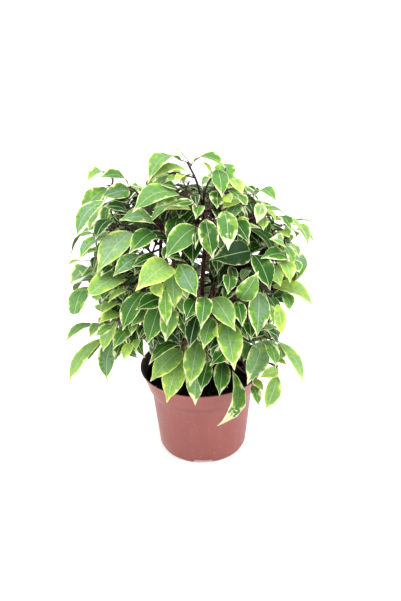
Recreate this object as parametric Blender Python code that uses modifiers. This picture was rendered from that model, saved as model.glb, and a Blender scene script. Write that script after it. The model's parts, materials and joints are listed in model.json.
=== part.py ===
"""A young weeping fig with cream-edged leaves, its rooted stems standing in one plastic nursery pot.

Metres, +Z up. The origin is the middle of the pot's underside, on the surface that the pot stands on.
The leaves of the near side were read from a picture, as the pixels of each blade's foot and tip. The
others follow a seeded rule round the back and inside of the crown. Every blade is tried in a few
poses, and takes the first one that is clear of all that is already there.
"""
import random
from collections import namedtuple
from math import cos, pi, radians, sin, sqrt

import bmesh
import bpy
from mathutils import Matrix, Vector, noise
from mathutils.bvhtree import BVHTree

# The pot: a 12 cm nursery pot with a flared collar and a notched foot
RIM_RADIUS = 0.0600
POT_HEIGHT = 0.0886
BASE_RADIUS = 0.0416
WALL = 0.0012
POT_STEPS = 32
FLOOR_UNDERSIDE = 0.0045
POT_OUTER = (  # radius and height, from the foot up to the rim
    (BASE_RADIUS, 0.0),
    (0.0434, 0.0040),
    (0.0495, 0.0632),
    (0.0534, 0.0702),
    (0.0572, 0.0835),
    (0.0590, 0.0872),
    (RIM_RADIUS, 0.0880),
    (RIM_RADIUS, POT_HEIGHT),
)
PAD_RADIUS = 0.0090
NOTCHES = 3
NOTCH_LENGTH = 0.0218
NOTCH_TOP_SHARE = 0.76
NOTCH_HEIGHT = 0.0042
DRAIN_HOLES = 8
DRAIN_RING = 0.0270
DRAIN_RADIUS = 0.0035

# The soil
GAP = 0.0003
SOIL_TOP = 0.0780
SOIL_RELIEF = 0.0022
ROOT_DEPTH = 0.0460

# The line of sight of the picture, 401 by 601 pixels, in which the near leaves were read
PICTURE_MIDDLE = (200.5, 300.5)
FOCAL_PIXELS = 845.0
SIGHT_TILT = radians(26.6)
SIGHT_ROLL = radians(-1.12)
SIGHT_TARGET = Vector((0.0003, 0.0, 0.158))
SIGHT_DISTANCE = 0.8

# The crown: a dome that the outer leaves lie on
CROWN_MIDDLE = Vector((-0.008, 0.0, 0.185))
CROWN_RADII = Vector((0.118, 0.110, 0.122))
OUTERMOST = 1.06
OUTERMOST_BY_RULE = 0.98

# The crown's outline in the picture, which the leaves placed by rule stay within
CROWN_OUTLINE = (
    (68, 385), (64, 340), (84, 320), (70, 312), (66, 284), (70, 240), (72, 212), (84, 172), (110, 168),
    (130, 178), (147, 182), (148, 160), (168, 152), (190, 158), (206, 152), (226, 160), (231, 176), (247, 186),
    (265, 187), (279, 194), (281, 210), (296, 222), (312, 223), (314, 244), (299, 258), (297, 286), (314, 306),
    (290, 312), (284, 340), (304, 382), (282, 400), (258, 406), (249, 396), (242, 455), (160, 455), (144, 372),
    (108, 383),
)

# Blades and twigs
BLADE_THICK = 0.0007
CLEARANCE = 0.0004
LENGTH_PER_WIDTH = 2.3
CHORD_PER_LENGTH = 0.93
LEAF_FOLD = 0.22
PETIOLE = 0.008
PETIOLE_HALF = 0.0007
ROOT_SINK = 0.0004
TWIG_RADIUS = 0.0012
TWIG_END_RADIUS = 0.0008
WAYS_ROUND = (
    (0, 0, 0), (0, 0, 0.007), (0, 0, -0.007), (0.007, 0, 0), (-0.007, 0, 0), (0, 0.007, 0), (0, -0.007, 0),
)
UP = Vector((0.0, 0.0, 1.0))

# Rooted stems: radius, the stem's points from the soil up, and its limbs
Stem = namedtuple("Stem", "radius trunk limbs")
STEMS = {
    "stem_main": Stem(
        0.0031,
        ((0.004, 0.004, ROOT_DEPTH), (0.004, 0.004, 0.090), (0.003, 0.000, 0.130), (0.002, -0.001, 0.170),
         (0.004, 0.000, 0.200), (0.006, 0.002, 0.230), (0.003, 0.002, 0.256)),
        (((0.003, 0.000, 0.118), (0.001, -0.022, 0.138), (-0.002, -0.045, 0.150)),),
    ),
    "stem_left": Stem(
        0.0026,
        ((-0.014, -0.002, ROOT_DEPTH), (-0.014, -0.002, 0.088), (-0.019, -0.005, 0.120),
         (-0.026, -0.006, 0.160), (-0.035, -0.004, 0.200), (-0.034, 0.000, 0.223), (-0.029, 0.002, 0.242)),
        (((-0.017, -0.004, 0.108), (-0.040, -0.014, 0.132), (-0.066, -0.020, 0.146)),),
    ),
    "stem_right": Stem(
        0.0026,
        ((0.017, -0.003, ROOT_DEPTH), (0.017, -0.003, 0.088), (0.014, -0.006, 0.120), (0.0115, -0.008, 0.160),
         (0.0125, -0.008, 0.1755), (0.028, -0.007, 0.1945), (0.0465, -0.003, 0.210), (0.060, 0.002, 0.222)),
        (((0.0145, -0.005, 0.112), (0.034, -0.014, 0.134), (0.056, -0.020, 0.148)),),
    ),
    "stem_back": Stem(
        0.0025,
        ((-0.002, 0.019, ROOT_DEPTH), (-0.002, 0.019, 0.088), (0.000, 0.026, 0.130), (0.004, 0.034, 0.170),
         (0.006, 0.038, 0.205), (0.002, 0.040, 0.235)),
        (((0.000, 0.0235, 0.115), (0.030, 0.046, 0.140), (0.052, 0.056, 0.160)),
         ((0.0005, 0.027, 0.135), (-0.030, 0.048, 0.155), (-0.056, 0.054, 0.175))),
    ),
}
LIMB_SHARE = 0.72

# A leaf read in the picture: pixels of the blade's foot and tip, width in millimetres, how far out its
# foot lies (1 is on the dome), how much the blade faces the viewer (0 faces the sky, below 0 it is seen
# from its edge), and how high its midrib arches and how far it bows to one side, as shares of its length
Leaf = namedtuple("Leaf", "foot tip width layer face arch bow", defaults=(0.86, 0.6, 0.17, 0.0))
NEAR_SHOOTS = {
    "crown_top": (
        Leaf((191, 175), (151, 181), 18, 0.84, 0.35, 0.24),
        Leaf((194, 162), (225.5, 168), 16, 0.90, 0.0, 0.22),
        Leaf((181, 161), (147.7, 184.3), 21, 0.90, 0.0, 0.26),
        Leaf((182.5, 155), (173, 149.5), 6, 0.95, 0.3),
    ),
    "crown_right": (
        Leaf((203, 188), (211.5, 177), 9), Leaf((217.5, 170), (222, 198), 15.5, 0.90),
        Leaf((212, 173), (202.3, 161.5), 4, 0.90),
    ),
    "crown_lime": (
        Leaf((239, 200), (221.5, 209.7), 15, 0.75, 0.2), Leaf((226, 195), (231, 203), 10),
        Leaf((230, 178.5), (243, 195), 13, 0.90, 0.2),
    ),
    "right_upper": (
        Leaf((247, 204.8), (236.5, 194.6), 9), Leaf((261, 204), (256.6, 223.7), 12, 0.90),
        Leaf((255.4, 193), (255.6, 186.6), 6), Leaf((255, 196), (277, 203), 14, 0.92, 0.0, 0.28),
    ),
    "right_shoulder": (
        Leaf((259, 219), (263.4, 230.8), 12, 0.80), Leaf((262, 210), (276, 221.5), 11, 0.97, 0.2),
        Leaf((276, 217.5), (292, 233), 13, 0.93, 0.1, 0.22),
    ),
    "right_reach": (
        Leaf((281, 231), (289.3, 238), 12), Leaf((289, 226), (308, 245.7), 15, 0.92, 0.1, 0.26),
        Leaf((292, 229), (315, 245), 12, 0.85, -0.3), Leaf((291, 224), (313.8, 224.6), 13, 0.95, -0.5, 0.20),
    ),
    "right_middle": (
        Leaf((266.4, 265.4), (281, 287), 16), Leaf((286.5, 258), (260.6, 258.7), 16, 0.86, 0.3),
        Leaf((282, 261), (290, 283), 15, 0.90), Leaf((294, 260), (299.5, 273), 10),
    ),
    "right_hang": (
        Leaf((283, 246), (269, 239), 13), Leaf((284.3, 245.7), (292, 266.2), 13, 0.93, 0.4),
        Leaf((288.5, 244), (299, 257.8), 10, 0.97, 0.2),
    ),
    "right_low": (
        Leaf((253.5, 255), (270.4, 290.8), 19, 0.75), Leaf((270, 305), (275.4, 324.1), 10),
        Leaf((277, 304), (281.7, 335.3), 12, 0.90), Leaf((283, 293), (290, 311), 16),
        Leaf((272, 287), (315.5, 308), 22, 0.93, 0.2, 0.14),
    ),
    "right_skirt": (
        Leaf((248, 343), (243, 362), 15, 0.70), Leaf((262, 342), (247, 385), 22, 0.98),
        Leaf((267, 343), (276, 367), 13, 0.84, 0.3), Leaf((277, 341), (266, 330), 14),
        Leaf((278, 343), (281.5, 360), 10),
        Leaf((279, 342), (303, 383), 19, 0.95, 0.0, 0.08),
    ),
    "centre_right": (
        Leaf((250, 251), (209, 260), 23, 0.72, 0.75), Leaf((228.5, 276), (227.7, 294.8), 13),
        Leaf((232, 223.5), (249.6, 244), 18, 0.72), Leaf((248.8, 219), (235.8, 224.4), 8, 0.80),
    ),
    "centre_top": (
        Leaf((205.5, 219.5), (213, 259.6), 18, 0.82, 0.7), Leaf((200, 206), (195.6, 219.5), 11),
        Leaf((194.7, 197.7), (196.5, 207.5), 9),
    ),
    "centre_hang": (
        Leaf((224, 211), (228.2, 250.7), 18, 0.92, 0.75),
        Leaf((217.5, 191), (217, 209.5), 15, 0.80),
    ),
    "left_top": (
        Leaf((191, 209.7), (164.6, 210), 12, 0.75, 0.3), Leaf((193.8, 202.6), (171.3, 206.2), 8),
        Leaf((176.3, 198.6), (154.8, 208.4), 12, 0.80), Leaf((179.4, 195.4), (132, 213), 23, 0.92, 0.3, 0.22),
        Leaf((175.8, 189.6), (160.6, 185.2), 9), Leaf((183, 183.5), (174, 184.3), 8),
        Leaf((182.5, 181), (165.3, 180.7), 12, 0.85, 0.1),
    ),
    "left_reach": (
        Leaf((154.8, 224.8), (119, 220.5), 18, 0.80, 0.4), Leaf((141, 193.7), (128.5, 185.6), 10, 0.80),
        Leaf((127, 211.5), (102.4, 207), 12, 0.80), Leaf((129, 200.5), (111.3, 198.1), 10, 0.80),
        Leaf((129.2, 190.5), (101, 197.5), 16, 0.90, 0.65, 0.12),
        Leaf((127.5, 183.5), (98.5, 178), 16, 0.98, 0.2, 0.14),
        Leaf((107, 188), (80.5, 211), 18, 0.93, 0.3, 0.12),
    ),
    "left_far": (
        Leaf((103, 207), (88.4, 232.4), 12, 0.90, 0.2), Leaf((105.5, 201), (77, 237.5), 18, 0.95, 0.4, 0.16),
        Leaf((104.6, 175), (86.6, 182.5), 13, 0.90, 0.1, 0.28),
    ),
    "left_mid": (
        Leaf((131.5, 232.6), (96.6, 273.5), 25, 0.95, 0.75), Leaf((112, 220.5), (95.4, 240), 15),
        Leaf((94.4, 234), (78.8, 237.5), 8, 0.88, 0.1),
        Leaf((104.6, 237), (79.6, 260.5), 14, 0.88, 0.1, 0.22),
        Leaf((98, 251), (86.3, 254.3), 8, 0.80),
    ),
    "left_edge": (
        Leaf((141.4, 256), (113, 276.6), 16, 0.82), Leaf((113.6, 267.2), (100.6, 276.6), 12, 0.80),
        Leaf((98, 256), (94, 272), 8, 0.80), Leaf((92, 271), (69.5, 286), 17, 0.90, 0.4),
        Leaf((83, 262), (67.6, 267), 8, 0.90, 0.1),
    ),
    "left_broad": (
        Leaf((157, 257), (131.6, 267.2), 12, 0.75), Leaf((126, 279.5), (89.5, 294.5), 22, 0.93, 0.5, 0.17),
        Leaf((128, 290), (108, 303), 10, 0.80, -0.1), Leaf((114, 289), (101.5, 302.4), 10, 0.80, 0.2),
        Leaf((105, 291), (95, 302.5), 9, 0.80), Leaf((90.5, 286.5), (74.5, 315), 20, 0.93),
    ),
    "left_inner": (
        Leaf((181.2, 259.6), (166.9, 257.9), 12, 0.60), Leaf((153.9, 232.9), (128.7, 254.3), 18, 0.82, 0.7),
    ),
    "left_big": (
        Leaf((168.6, 264.4), (135, 291.5), 25, 0.95, 0.75), Leaf((156, 284), (162, 299), 12),
        Leaf((144, 292), (122.5, 331), 18, 0.90, 0.4),
    ),
    "centre_left": (
        Leaf((190.5, 238), (193, 266), 21, 0.60, 0.7), Leaf((195.4, 232.9), (195.4, 249.4), 6),
        Leaf((197, 227.5), (164.8, 258.7), 22, 0.92, 0.6),
    ),
    "low_centre": (
        Leaf((180, 264.5), (197.4, 298), 19, 0.93, 0.7), Leaf((171.9, 272.4), (174.6, 310), 18, 0.93, 0.7),
        Leaf((165, 290), (167, 326), 12, 0.90), Leaf((172, 308), (165.3, 342.1), 16, 0.92, 0.7),
    ),
    "low_middle": (
        Leaf((204, 298), (200.9, 329.2), 15, 0.90, 0.7), Leaf((195.6, 301.5), (185.4, 320.7), 16, 0.90, 0.7),
        Leaf((190, 312), (184, 325), 9, 0.80), Leaf((197, 316), (189.4, 348.4), 14, 0.80),
    ),
    "left_low": (
        Leaf((161.3, 299.7), (135.4, 310), 17, 0.80), Leaf((160.8, 301.5), (147.4, 344.4), 19, 0.85, 0.7),
        Leaf((147.9, 311.3), (130.9, 326.5), 15, 0.88), Leaf((145, 327), (138.5, 339.5), 10, 0.80),
        Leaf((137, 318), (131, 336), 9, 0.82),
        Leaf((138, 339.5), (136.3, 350.6), 7, 0.80),
    ),
    "left_skirt": (
        Leaf((131, 343), (123.7, 361.8), 10), Leaf((130, 330), (113, 350), 14, 0.90),
        Leaf((121.5, 345), (115, 361.5), 10, 0.84),
        Leaf((116, 337), (108, 382), 20, 0.93), Leaf((103, 341), (87, 361.8), 7, 0.76),
        Leaf((104, 338), (68.5, 384), 20, 0.93, 0.0, 0.08),
    ),
    "left_outer": (
        Leaf((120.3, 306), (100.2, 316.3), 14, 0.88, 0.3), Leaf((122, 315.4), (98.8, 323.8), 16, 0.90, 0.4),
        Leaf((117, 321), (103, 352), 14, 0.92, 0.4),
        Leaf((112.7, 326), (94.8, 337.2), 9), Leaf((102.9, 326.5), (89.5, 339.5), 12, 0.88),
        Leaf((98.4, 326), (65, 343), 17, 0.92, -0.15, 0.20),
    ),
    "front_left": (
        Leaf((180, 345), (148.8, 364.8), 18, 0.86, 0.3, 0.20),
        Leaf((182, 350), (150.1, 381.8), 20, 0.92, 0.5),
        Leaf((181, 357), (166.6, 403.2), 22, 0.95, 0.7),
    ),
    "front_centre": (
        Leaf((211.6, 318), (203.1, 349.7), 16, 0.90, 0.7),
        Leaf((197.9, 340.7), (189.8, 387.1), 20, 0.92, 0.7),
        Leaf((208, 362), (200.5, 391.6), 14), Leaf((197, 352), (195.2, 405.9), 18, 0.88),
    ),
    "front_right": (
        Leaf((213, 298), (235.7, 331.4), 20, 0.92, 0.5), Leaf((218, 324), (219.2, 338.1), 9),
        Leaf((225, 320.3), (234.5, 370.7), 23, 0.95, 0.7), Leaf((216, 334), (208, 351), 12, 0.80),
        Leaf((230, 344), (209.5, 366), 15),
    ),
    "right_front": (
        Leaf((240, 299), (258.8, 270.7), 18, 0.93, 0.7), Leaf((237, 301.5), (242.4, 327), 13),
        Leaf((258.5, 291.7), (256.7, 337.2), 20, 0.93, 0.75), Leaf((247.3, 320.3), (251.3, 340), 14, 0.82),
    ),
    "front_curl": (
        Leaf((222, 362), (219.3, 396.1), 17), Leaf((232.7, 371), (216.6, 426.4), 17, 0.95, 0.5, 0.10, -0.15),
        Leaf((252.3, 385.5), (258.6, 406), 10.5, 0.90),
        Leaf((253.5, 379.5), (263.8, 391.3), 8, 0.84),
    ),
    "right_tail": (
        Leaf((274, 361), (287, 365), 7, 0.90, 0.3), Leaf((278, 371), (259, 377.5), 12, 0.92, 0.4),
        Leaf((277, 375.5), (265.5, 410), 16, 0.94, 0.4),
    ),
}

# Shoots of the back and inside, by rule
BACK_SHOOTS = 16
INNER_SHOOTS = 4
RULE_LEAVES = 5
RULE_LENGTHS = (0.040, 0.056)
GOLDEN_STEP = 0.618034
LOWEST_TIP = 0.062

# A blade in place: where its stalk leaves the twig, its foot, its tip, the way its upper face looks, its
# width, its arch and its bow
Blade = namedtuple("Blade", "node foot tip normal width arch bow", defaults=(0.0,))


def clear_scene():
    for old in list(bpy.data.objects):
        bpy.data.objects.remove(old, do_unlink=True)


def new_collection(name):
    collection = bpy.data.collections.new(name)
    bpy.context.scene.collection.children.link(collection)
    return collection


def material(name, colour, roughness):
    made = bpy.data.materials.new(name)
    made.use_nodes = True
    shader = made.node_tree.nodes["Principled BSDF"]
    shader.inputs["Base Color"].default_value = (*colour, 1.0)
    shader.inputs["Roughness"].default_value = roughness
    return made


def add_object(name, mesh, collection, finish=None):
    made = bpy.data.objects.new(name, mesh)
    collection.objects.link(made)
    if finish:
        mesh.materials.clear()
        mesh.materials.append(finish)
    return made


def applied(source, name, collection, finish=None):
    """A plain mesh object of what source looks like with its modifiers, which source is dropped for."""
    bpy.context.view_layer.update()
    seen = source.evaluated_get(bpy.context.evaluated_depsgraph_get())
    mesh = bpy.data.meshes.new_from_object(seen)
    mesh.name = name
    place = source.matrix_world.copy()
    bpy.data.objects.remove(source, do_unlink=True)
    made = add_object(name, mesh, collection, finish)
    made.matrix_world = place
    return made


def weld(mesh, distance=1e-6):
    shape = bmesh.new()
    shape.from_mesh(mesh)
    bmesh.ops.remove_doubles(shape, verts=shape.verts, dist=distance)
    shape.to_mesh(mesh)
    shape.free()


def boolean(target, collection, operation):
    step = target.modifiers.new(operation.lower(), "BOOLEAN")
    step.operation = operation
    step.operand_type = "COLLECTION"
    step.collection = collection
    step.solver = "EXACT"


def remove_all(collection):
    for old in list(collection.objects):
        bpy.data.objects.remove(old, do_unlink=True)


def turned(name, profile, collection):
    """A solid of revolution; the profile starts and ends on the axis and runs down its outer side."""
    mesh = bpy.data.meshes.new(name)
    shape = bmesh.new()
    points = [shape.verts.new((radius, 0.0, height)) for radius, height in profile]
    for start, end in zip(points, points[1:]):
        shape.edges.new((start, end))
    shape.to_mesh(mesh)
    shape.free()
    made = add_object(name, mesh, collection)
    screw = made.modifiers.new("screw", "SCREW")
    screw.steps = screw.render_steps = POT_STEPS
    screw.use_merge_vertices = True
    screw.merge_threshold = 0.00001
    return made


# The pot and the soil
def pot_profile():
    inner_floor = FLOOR_UNDERSIDE + WALL
    inner = [(POT_OUTER[1][0] - WALL, inner_floor)]
    inner += [(radius - WALL, height) for radius, height in POT_OUTER[2:]]
    outer = [(radius, height) for radius, height in reversed(POT_OUTER)]
    foot_inner = BASE_RADIUS - 1.5 * WALL
    return (
        [(0.0, WALL), (PAD_RADIUS - 0.4 * WALL, WALL), (PAD_RADIUS + WALL, inner_floor)]
        + inner + outer
        + [(foot_inner, 0.0), (foot_inner, FLOOR_UNDERSIDE), (PAD_RADIUS + 1.6 * WALL, FLOOR_UNDERSIDE),
           (PAD_RADIUS, 0.0), (0.0, 0.0)]
    )


def notch_cutter(turn, cutters):
    """A block with sloping ends, across the foot at one angle."""
    mesh = bpy.data.meshes.new("notch")
    shape = bmesh.new()
    bmesh.ops.create_cube(shape, size=1.0)
    for corner in shape.verts:
        length = NOTCH_LENGTH if corner.co.z < 0 else NOTCH_TOP_SHARE * NOTCH_LENGTH
        height = NOTCH_HEIGHT if corner.co.z > 0 else -GAP
        corner.co = (BASE_RADIUS - WALL + corner.co.x * 8 * WALL, corner.co.y * length, height)
    shape.to_mesh(mesh)
    shape.free()
    cutter = add_object("notch", mesh, cutters)
    cutter.rotation_euler.z = turn


def hole_cutter(centre, radius, bottom, top, cutters):
    mesh = bpy.data.meshes.new("hole")
    shape = bmesh.new()
    bmesh.ops.create_cone(
        shape, cap_ends=True, segments=8, radius1=radius, radius2=radius, depth=top - bottom
    )
    shape.to_mesh(mesh)
    shape.free()
    cutter = add_object("hole", mesh, cutters)
    cutter.location = (centre[0], centre[1], (top + bottom) / 2)


def build_pot(parts, cutters, finish):
    pot = turned("pot_blank", pot_profile(), parts)
    for index in range(NOTCHES):
        notch_cutter(-pi / 2 + index * 2 * pi / NOTCHES, cutters)
    for index in range(DRAIN_HOLES):
        angle = (index + 0.5) * 2 * pi / DRAIN_HOLES
        centre = (DRAIN_RING * cos(angle), DRAIN_RING * sin(angle))
        hole_cutter(centre, DRAIN_RADIUS, 0.0005, 2.5 * FLOOR_UNDERSIDE, cutters)
    boolean(pot, cutters, "DIFFERENCE")
    pot = applied(pot, "pot", parts, finish)
    remove_all(cutters)
    for face in pot.data.polygons:
        face.use_smooth = True
    pot.data.set_sharp_from_angle(angle=radians(30))


def build_soil(parts, cutters, finish):
    """The potting mix fills the pot to just under its collar, with a plain hole for each stem."""
    bottom = FLOOR_UNDERSIDE + WALL + GAP
    shoulder = SOIL_TOP - 0.0030
    (narrow, low), (wide, high) = POT_OUTER[3:5]
    shoulder_radius = narrow + (wide - narrow) * (shoulder - low) / (high - low) - WALL - GAP
    rings = 4
    top = [((shoulder_radius - 0.001) * index / rings, SOIL_TOP) for index in range(rings + 1)]
    sides = [(radius - WALL - GAP, height) for radius, height in reversed(POT_OUTER[2:4])]
    foot = [(POT_OUTER[1][0] - WALL - 2 * GAP, bottom), (0.0, bottom)]
    profile = top + [(shoulder_radius, shoulder)] + sides + foot
    soil = applied(turned("soil_blank", profile, parts), "soil_blank", parts)
    for point in soil.data.vertices:
        if point.co.z > SOIL_TOP - 0.0001:
            bumps = noise.noise(point.co * 60.0) + 0.6 * noise.noise(point.co * 170.0)
            point.co.z += SOIL_RELIEF * bumps - 0.35 * SOIL_RELIEF
    for stem in STEMS.values():
        hole_cutter(stem.trunk[0], 1.09 * stem.radius + GAP, ROOT_DEPTH - GAP, 2 * SOIL_TOP, cutters)
    boolean(soil, cutters, "DIFFERENCE")
    applied(soil, "soil", parts, finish)
    remove_all(cutters)


# Wood
def rod(name, points, radii, sides, collection):
    """A tapering rod along the points, as a closed mesh."""
    curve = bpy.data.curves.new(name, "CURVE")
    curve.dimensions = "3D"
    curve.bevel_depth = 1.0
    curve.bevel_resolution = sides // 2 - 2
    curve.use_fill_caps = True
    line = curve.splines.new("POLY")
    line.points.add(len(points) - 1)
    for spot, place, radius in zip(line.points, points, radii):
        spot.co = (*place, 1.0)
        spot.radius = radius
    made = bpy.data.objects.new(name, curve)
    collection.objects.link(made)
    made = applied(made, name, collection)
    weld(made.data)
    return made


def taper(count, start, end):
    return [start + (end - start) * index / (count - 1) for index in range(count)]


def trunk_radii(stem):
    return taper(len(stem.trunk), stem.radius, 0.55 * stem.radius)


def limb_radii(stem, limb):
    return taper(len(limb), LIMB_SHARE * stem.radius, 0.5 * stem.radius)


def build_stem(name, stem, parts, joined, finish):
    trunk = rod(name, stem.trunk, trunk_radii(stem), 8, parts)
    for limb in stem.limbs:
        rod("limb", limb, limb_radii(stem, limb), 6, joined)
    boolean(trunk, joined, "UNION")
    trunk = applied(trunk, name, parts, finish)
    remove_all(joined)
    return trunk


def carriers():
    """Points every few millimetres along the wood that can bear a shoot: place, radius, axis."""
    found = []
    for stem in STEMS.values():
        runs = [list(zip(stem.trunk, trunk_radii(stem)))[1:]]
        runs += [list(zip(limb, limb_radii(stem, limb))) for limb in stem.limbs]
        for run in runs:
            for (start, thick), (end, thin) in zip(run, run[1:]):
                start, end = Vector(start), Vector(end)
                steps = max(2, int((end - start).length / 0.004))
                axis = (end - start).normalized()
                for index in range(1, steps):
                    share = index / steps
                    found.append((start.lerp(end, share), thick + share * (thin - thick), axis))
    return found


CARRIERS = carriers()


# Places along the line of sight
def sight_axes():
    forward = Vector((0.0, cos(SIGHT_TILT), -sin(SIGHT_TILT)))
    level = Vector((1.0, 0.0, 0.0))
    upright = level.cross(forward)
    right = cos(SIGHT_ROLL) * level + sin(SIGHT_ROLL) * upright
    above = -sin(SIGHT_ROLL) * level + cos(SIGHT_ROLL) * upright
    return SIGHT_TARGET - SIGHT_DISTANCE * forward, forward, right, above


def sight_line(pixel):
    eye, forward, right, above = sight_axes()
    across = (pixel[0] - PICTURE_MIDDLE[0]) / FOCAL_PIXELS
    rise = (PICTURE_MIDDLE[1] - pixel[1]) / FOCAL_PIXELS
    return eye, (forward + across * right + rise * above).normalized()


def in_outline(place):
    """True if the place is seen within the crown's outline in the picture."""
    eye, forward, right, above = sight_axes()
    offset = place - eye
    depth = offset.dot(forward)
    x = PICTURE_MIDDLE[0] + FOCAL_PIXELS * offset.dot(right) / depth
    y = PICTURE_MIDDLE[1] - FOCAL_PIXELS * offset.dot(above) / depth
    inside = False
    for (x1, y1), (x2, y2) in zip(CROWN_OUTLINE, CROWN_OUTLINE[1:] + CROWN_OUTLINE[:1]):
        if (y1 > y) != (y2 > y) and x < x1 + (x2 - x1) * (y - y1) / (y2 - y1):
            inside = not inside
    return inside


def in_crown(place):
    offset = place - CROWN_MIDDLE
    return Vector([part / radius for part, radius in zip(offset, CROWN_RADII)])


def on_dome(pixel, layer):
    """Where the line of sight meets the dome shrunk to this layer, or passes nearest to it."""
    eye, along = sight_line(pixel)
    start = in_crown(eye)
    run = Vector([part / radius for part, radius in zip(along, CROWN_RADII)])
    nearest = -start.dot(run) / run.dot(run)
    spare = layer**2 - (start + nearest * run).length_squared
    back = sqrt(max(spare, 0.0) / run.dot(run))
    return eye + (nearest - back) * along


def outward(place):
    away = place - CROWN_MIDDLE
    away.z *= 0.5
    return away.normalized()


def at_distance(pixel, centre, distance):
    """The nearer point of a line of sight that lies so far from centre, or the closest it comes."""
    eye, along = sight_line(pixel)
    nearest = (centre - eye).dot(along)
    spare = distance**2 - (eye + nearest * along - centre).length_squared
    return eye + (nearest - sqrt(max(spare, 0.0))) * along


# Blades
def half_width(blade, share):
    """Half the width of the blade at a share of its length: ovate, with a drawn-out tip."""
    widest = 0.42
    if share < widest:
        shape = (1 - ((widest - share) / widest) ** 2.2) ** 0.7
    else:
        shape = max(0.0, 1 - ((share - widest) / (0.90 - widest)) ** 1.8)
    return blade.width / 2 * max(shape, 0.35 * (1 - share))


def midrib(blade, share):
    chord = blade.tip - blade.foot
    side = chord.normalized().cross(blade.normal)
    bend = chord.length * 4 * share * (1 - share)
    return blade.foot + share * chord + bend * (blade.arch * blade.normal + blade.bow * side)


def blade_point(blade, row, column):
    """One corner of the blade's net: rows run from the twig to the tip, columns are left, rib, right."""
    side = (blade.tip - blade.foot).normalized().cross(blade.normal)
    if row == 0:
        return blade.node - ROOT_SINK * (blade.foot - blade.node).normalized()
    if row == 1:
        return blade.foot + side * PETIOLE_HALF * (1 if column == 2 else -1)
    share = (0.0, 0.0, 0.28, 0.66, 1.0)[row]
    half = half_width(blade, share) if row < 4 else 0.0
    across = (column - 1) * half
    return midrib(blade, share) + side * across + blade.normal * abs(across) * LEAF_FOLD


def leaf_shape(blade, thickness, stalk=True):
    """The blade and its stalk as one thin closed solid."""
    shape = bmesh.new()
    bmesh.ops.create_grid(shape, x_segments=2, y_segments=4, size=0.5)
    corners = sorted(shape.verts, key=lambda corner: (round(corner.co.y, 3), round(corner.co.x, 3)))
    for index, corner in enumerate(corners):
        corner.co = blade_point(blade, index // 3, index % 3)
    if not stalk:
        bmesh.ops.delete(shape, geom=corners[:3], context="VERTS")
    bmesh.ops.remove_doubles(shape, verts=shape.verts, dist=1e-6)
    bmesh.ops.triangulate(shape, faces=shape.faces, quad_method="FIXED")
    bmesh.ops.recalc_face_normals(shape, faces=shape.faces)
    bmesh.ops.translate(shape, verts=shape.verts, vec=-blade.normal * thickness / 2)
    bmesh.ops.solidify(shape, geom=shape.faces[:], thickness=thickness)
    bmesh.ops.recalc_face_normals(shape, faces=shape.faces)
    return shape


def face_normal(chord, raw):
    along = chord.normalized()
    flat = raw - along * raw.dot(along)
    return flat.normalized()


def turned_about(vector, axis, degrees):
    return Matrix.Rotation(radians(degrees), 3, axis) @ vector


def near_blades(leaf, node):
    """The poses of a leaf read in the picture: its tip may lie nearer or further along its sight line."""
    width = leaf.width / 1000
    chord_length = width * LENGTH_PER_WIDTH * CHORD_PER_LENGTH
    toward = -sight_line(leaf.foot)[1]
    for layer in (leaf.layer, leaf.layer - 0.08, leaf.layer - 0.16, leaf.layer - 0.24):
        foot = on_dome(leaf.foot, layer)
        tip = at_distance(leaf.tip, foot, chord_length)
        if in_crown(tip).length < OUTERMOST:
            break
    if node is None:
        return foot, tip
    poses = []
    raw = (1 - leaf.face) * UP + leaf.face * toward + 0.35 * outward(foot)
    for size in (1.0, 0.85):
        for tilt in (0, 20, -20, 40, -40, 65, -65):
            for push in (0, 7, -7, 14, -14, 21, -21, 30, -30):
                end = foot + size * (tip - toward * push / 1000 - foot)
                chord = end - foot
                normal = turned_about(face_normal(chord, raw), chord.normalized(), tilt)
                poses.append(Blade(node, foot, end, normal, size * width, leaf.arch, leaf.bow))
    return poses


def rule_blades(name, index, node, along):
    """The poses of a leaf that follows the rule: alternate sides of the twig, outward and down."""
    draw = random.Random(f"{name} {index}")
    length = draw.uniform(*RULE_LENGTHS)
    width = length / LENGTH_PER_WIDTH
    out = outward(node)
    side = along.cross(UP).normalized() * (1 if index % 2 else -1)
    lean = 0.35 * draw.uniform(0.4, 1.6)
    way = (0.7 * out + 0.75 * side + 0.5 * along - lean * UP).normalized()
    roll = draw.uniform(-18, 18)
    arch = draw.uniform(0.14, 0.25)
    poses = []
    for size in (1.0, 0.85, 0.7):
        for swing in (0, 25, -25, 50, -50, 80, -80, 120, -120):
            heading = turned_about(way, along, swing)
            foot = node + PETIOLE * (heading + 0.5 * UP).normalized()
            tip = foot + size * length * CHORD_PER_LENGTH * (heading - 0.25 * UP).normalized()
            if in_crown(tip).length > OUTERMOST_BY_RULE or tip.z < LOWEST_TIP:
                continue
            chord = tip - foot
            normal = turned_about(face_normal(chord, UP + 0.5 * out), chord.normalized(), roll)
            blade = Blade(node, foot, tip, normal, size * width, arch)
            if all(in_outline(midrib(blade, share)) for share in (0.3, 0.6, 1.0)):
                poses.append(blade)
    return poses


# Twigs
def smoothed(points):
    inner = [
        (before + 2 * here + after) / 4 for before, here, after in zip(points, points[1:], points[2:])
    ]
    return [points[0]] + inner + [points[-1]]


def twig_starts(goal, count=10):
    """Ways to leave the wood towards a goal, the likeliest first: two points each."""

    def cost(carrier):
        place = carrier[0]
        level = Vector((goal.x - place.x, goal.y - place.y)).length
        return (goal - place).length + 2.0 * max(0.0, place.z - goal.z + 0.3 * level)

    starts = []
    for place, radius, axis in sorted(CARRIERS, key=cost):
        toward = goal - place
        side = (toward - axis * toward.dot(axis)).normalized()
        root = place + side * (radius + GAP)
        if all((root - other[0]).length > 0.006 for other in starts):
            starts.append((root, root + 0.004 * side))
        if len(starts) == count:
            break
    return starts


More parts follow.
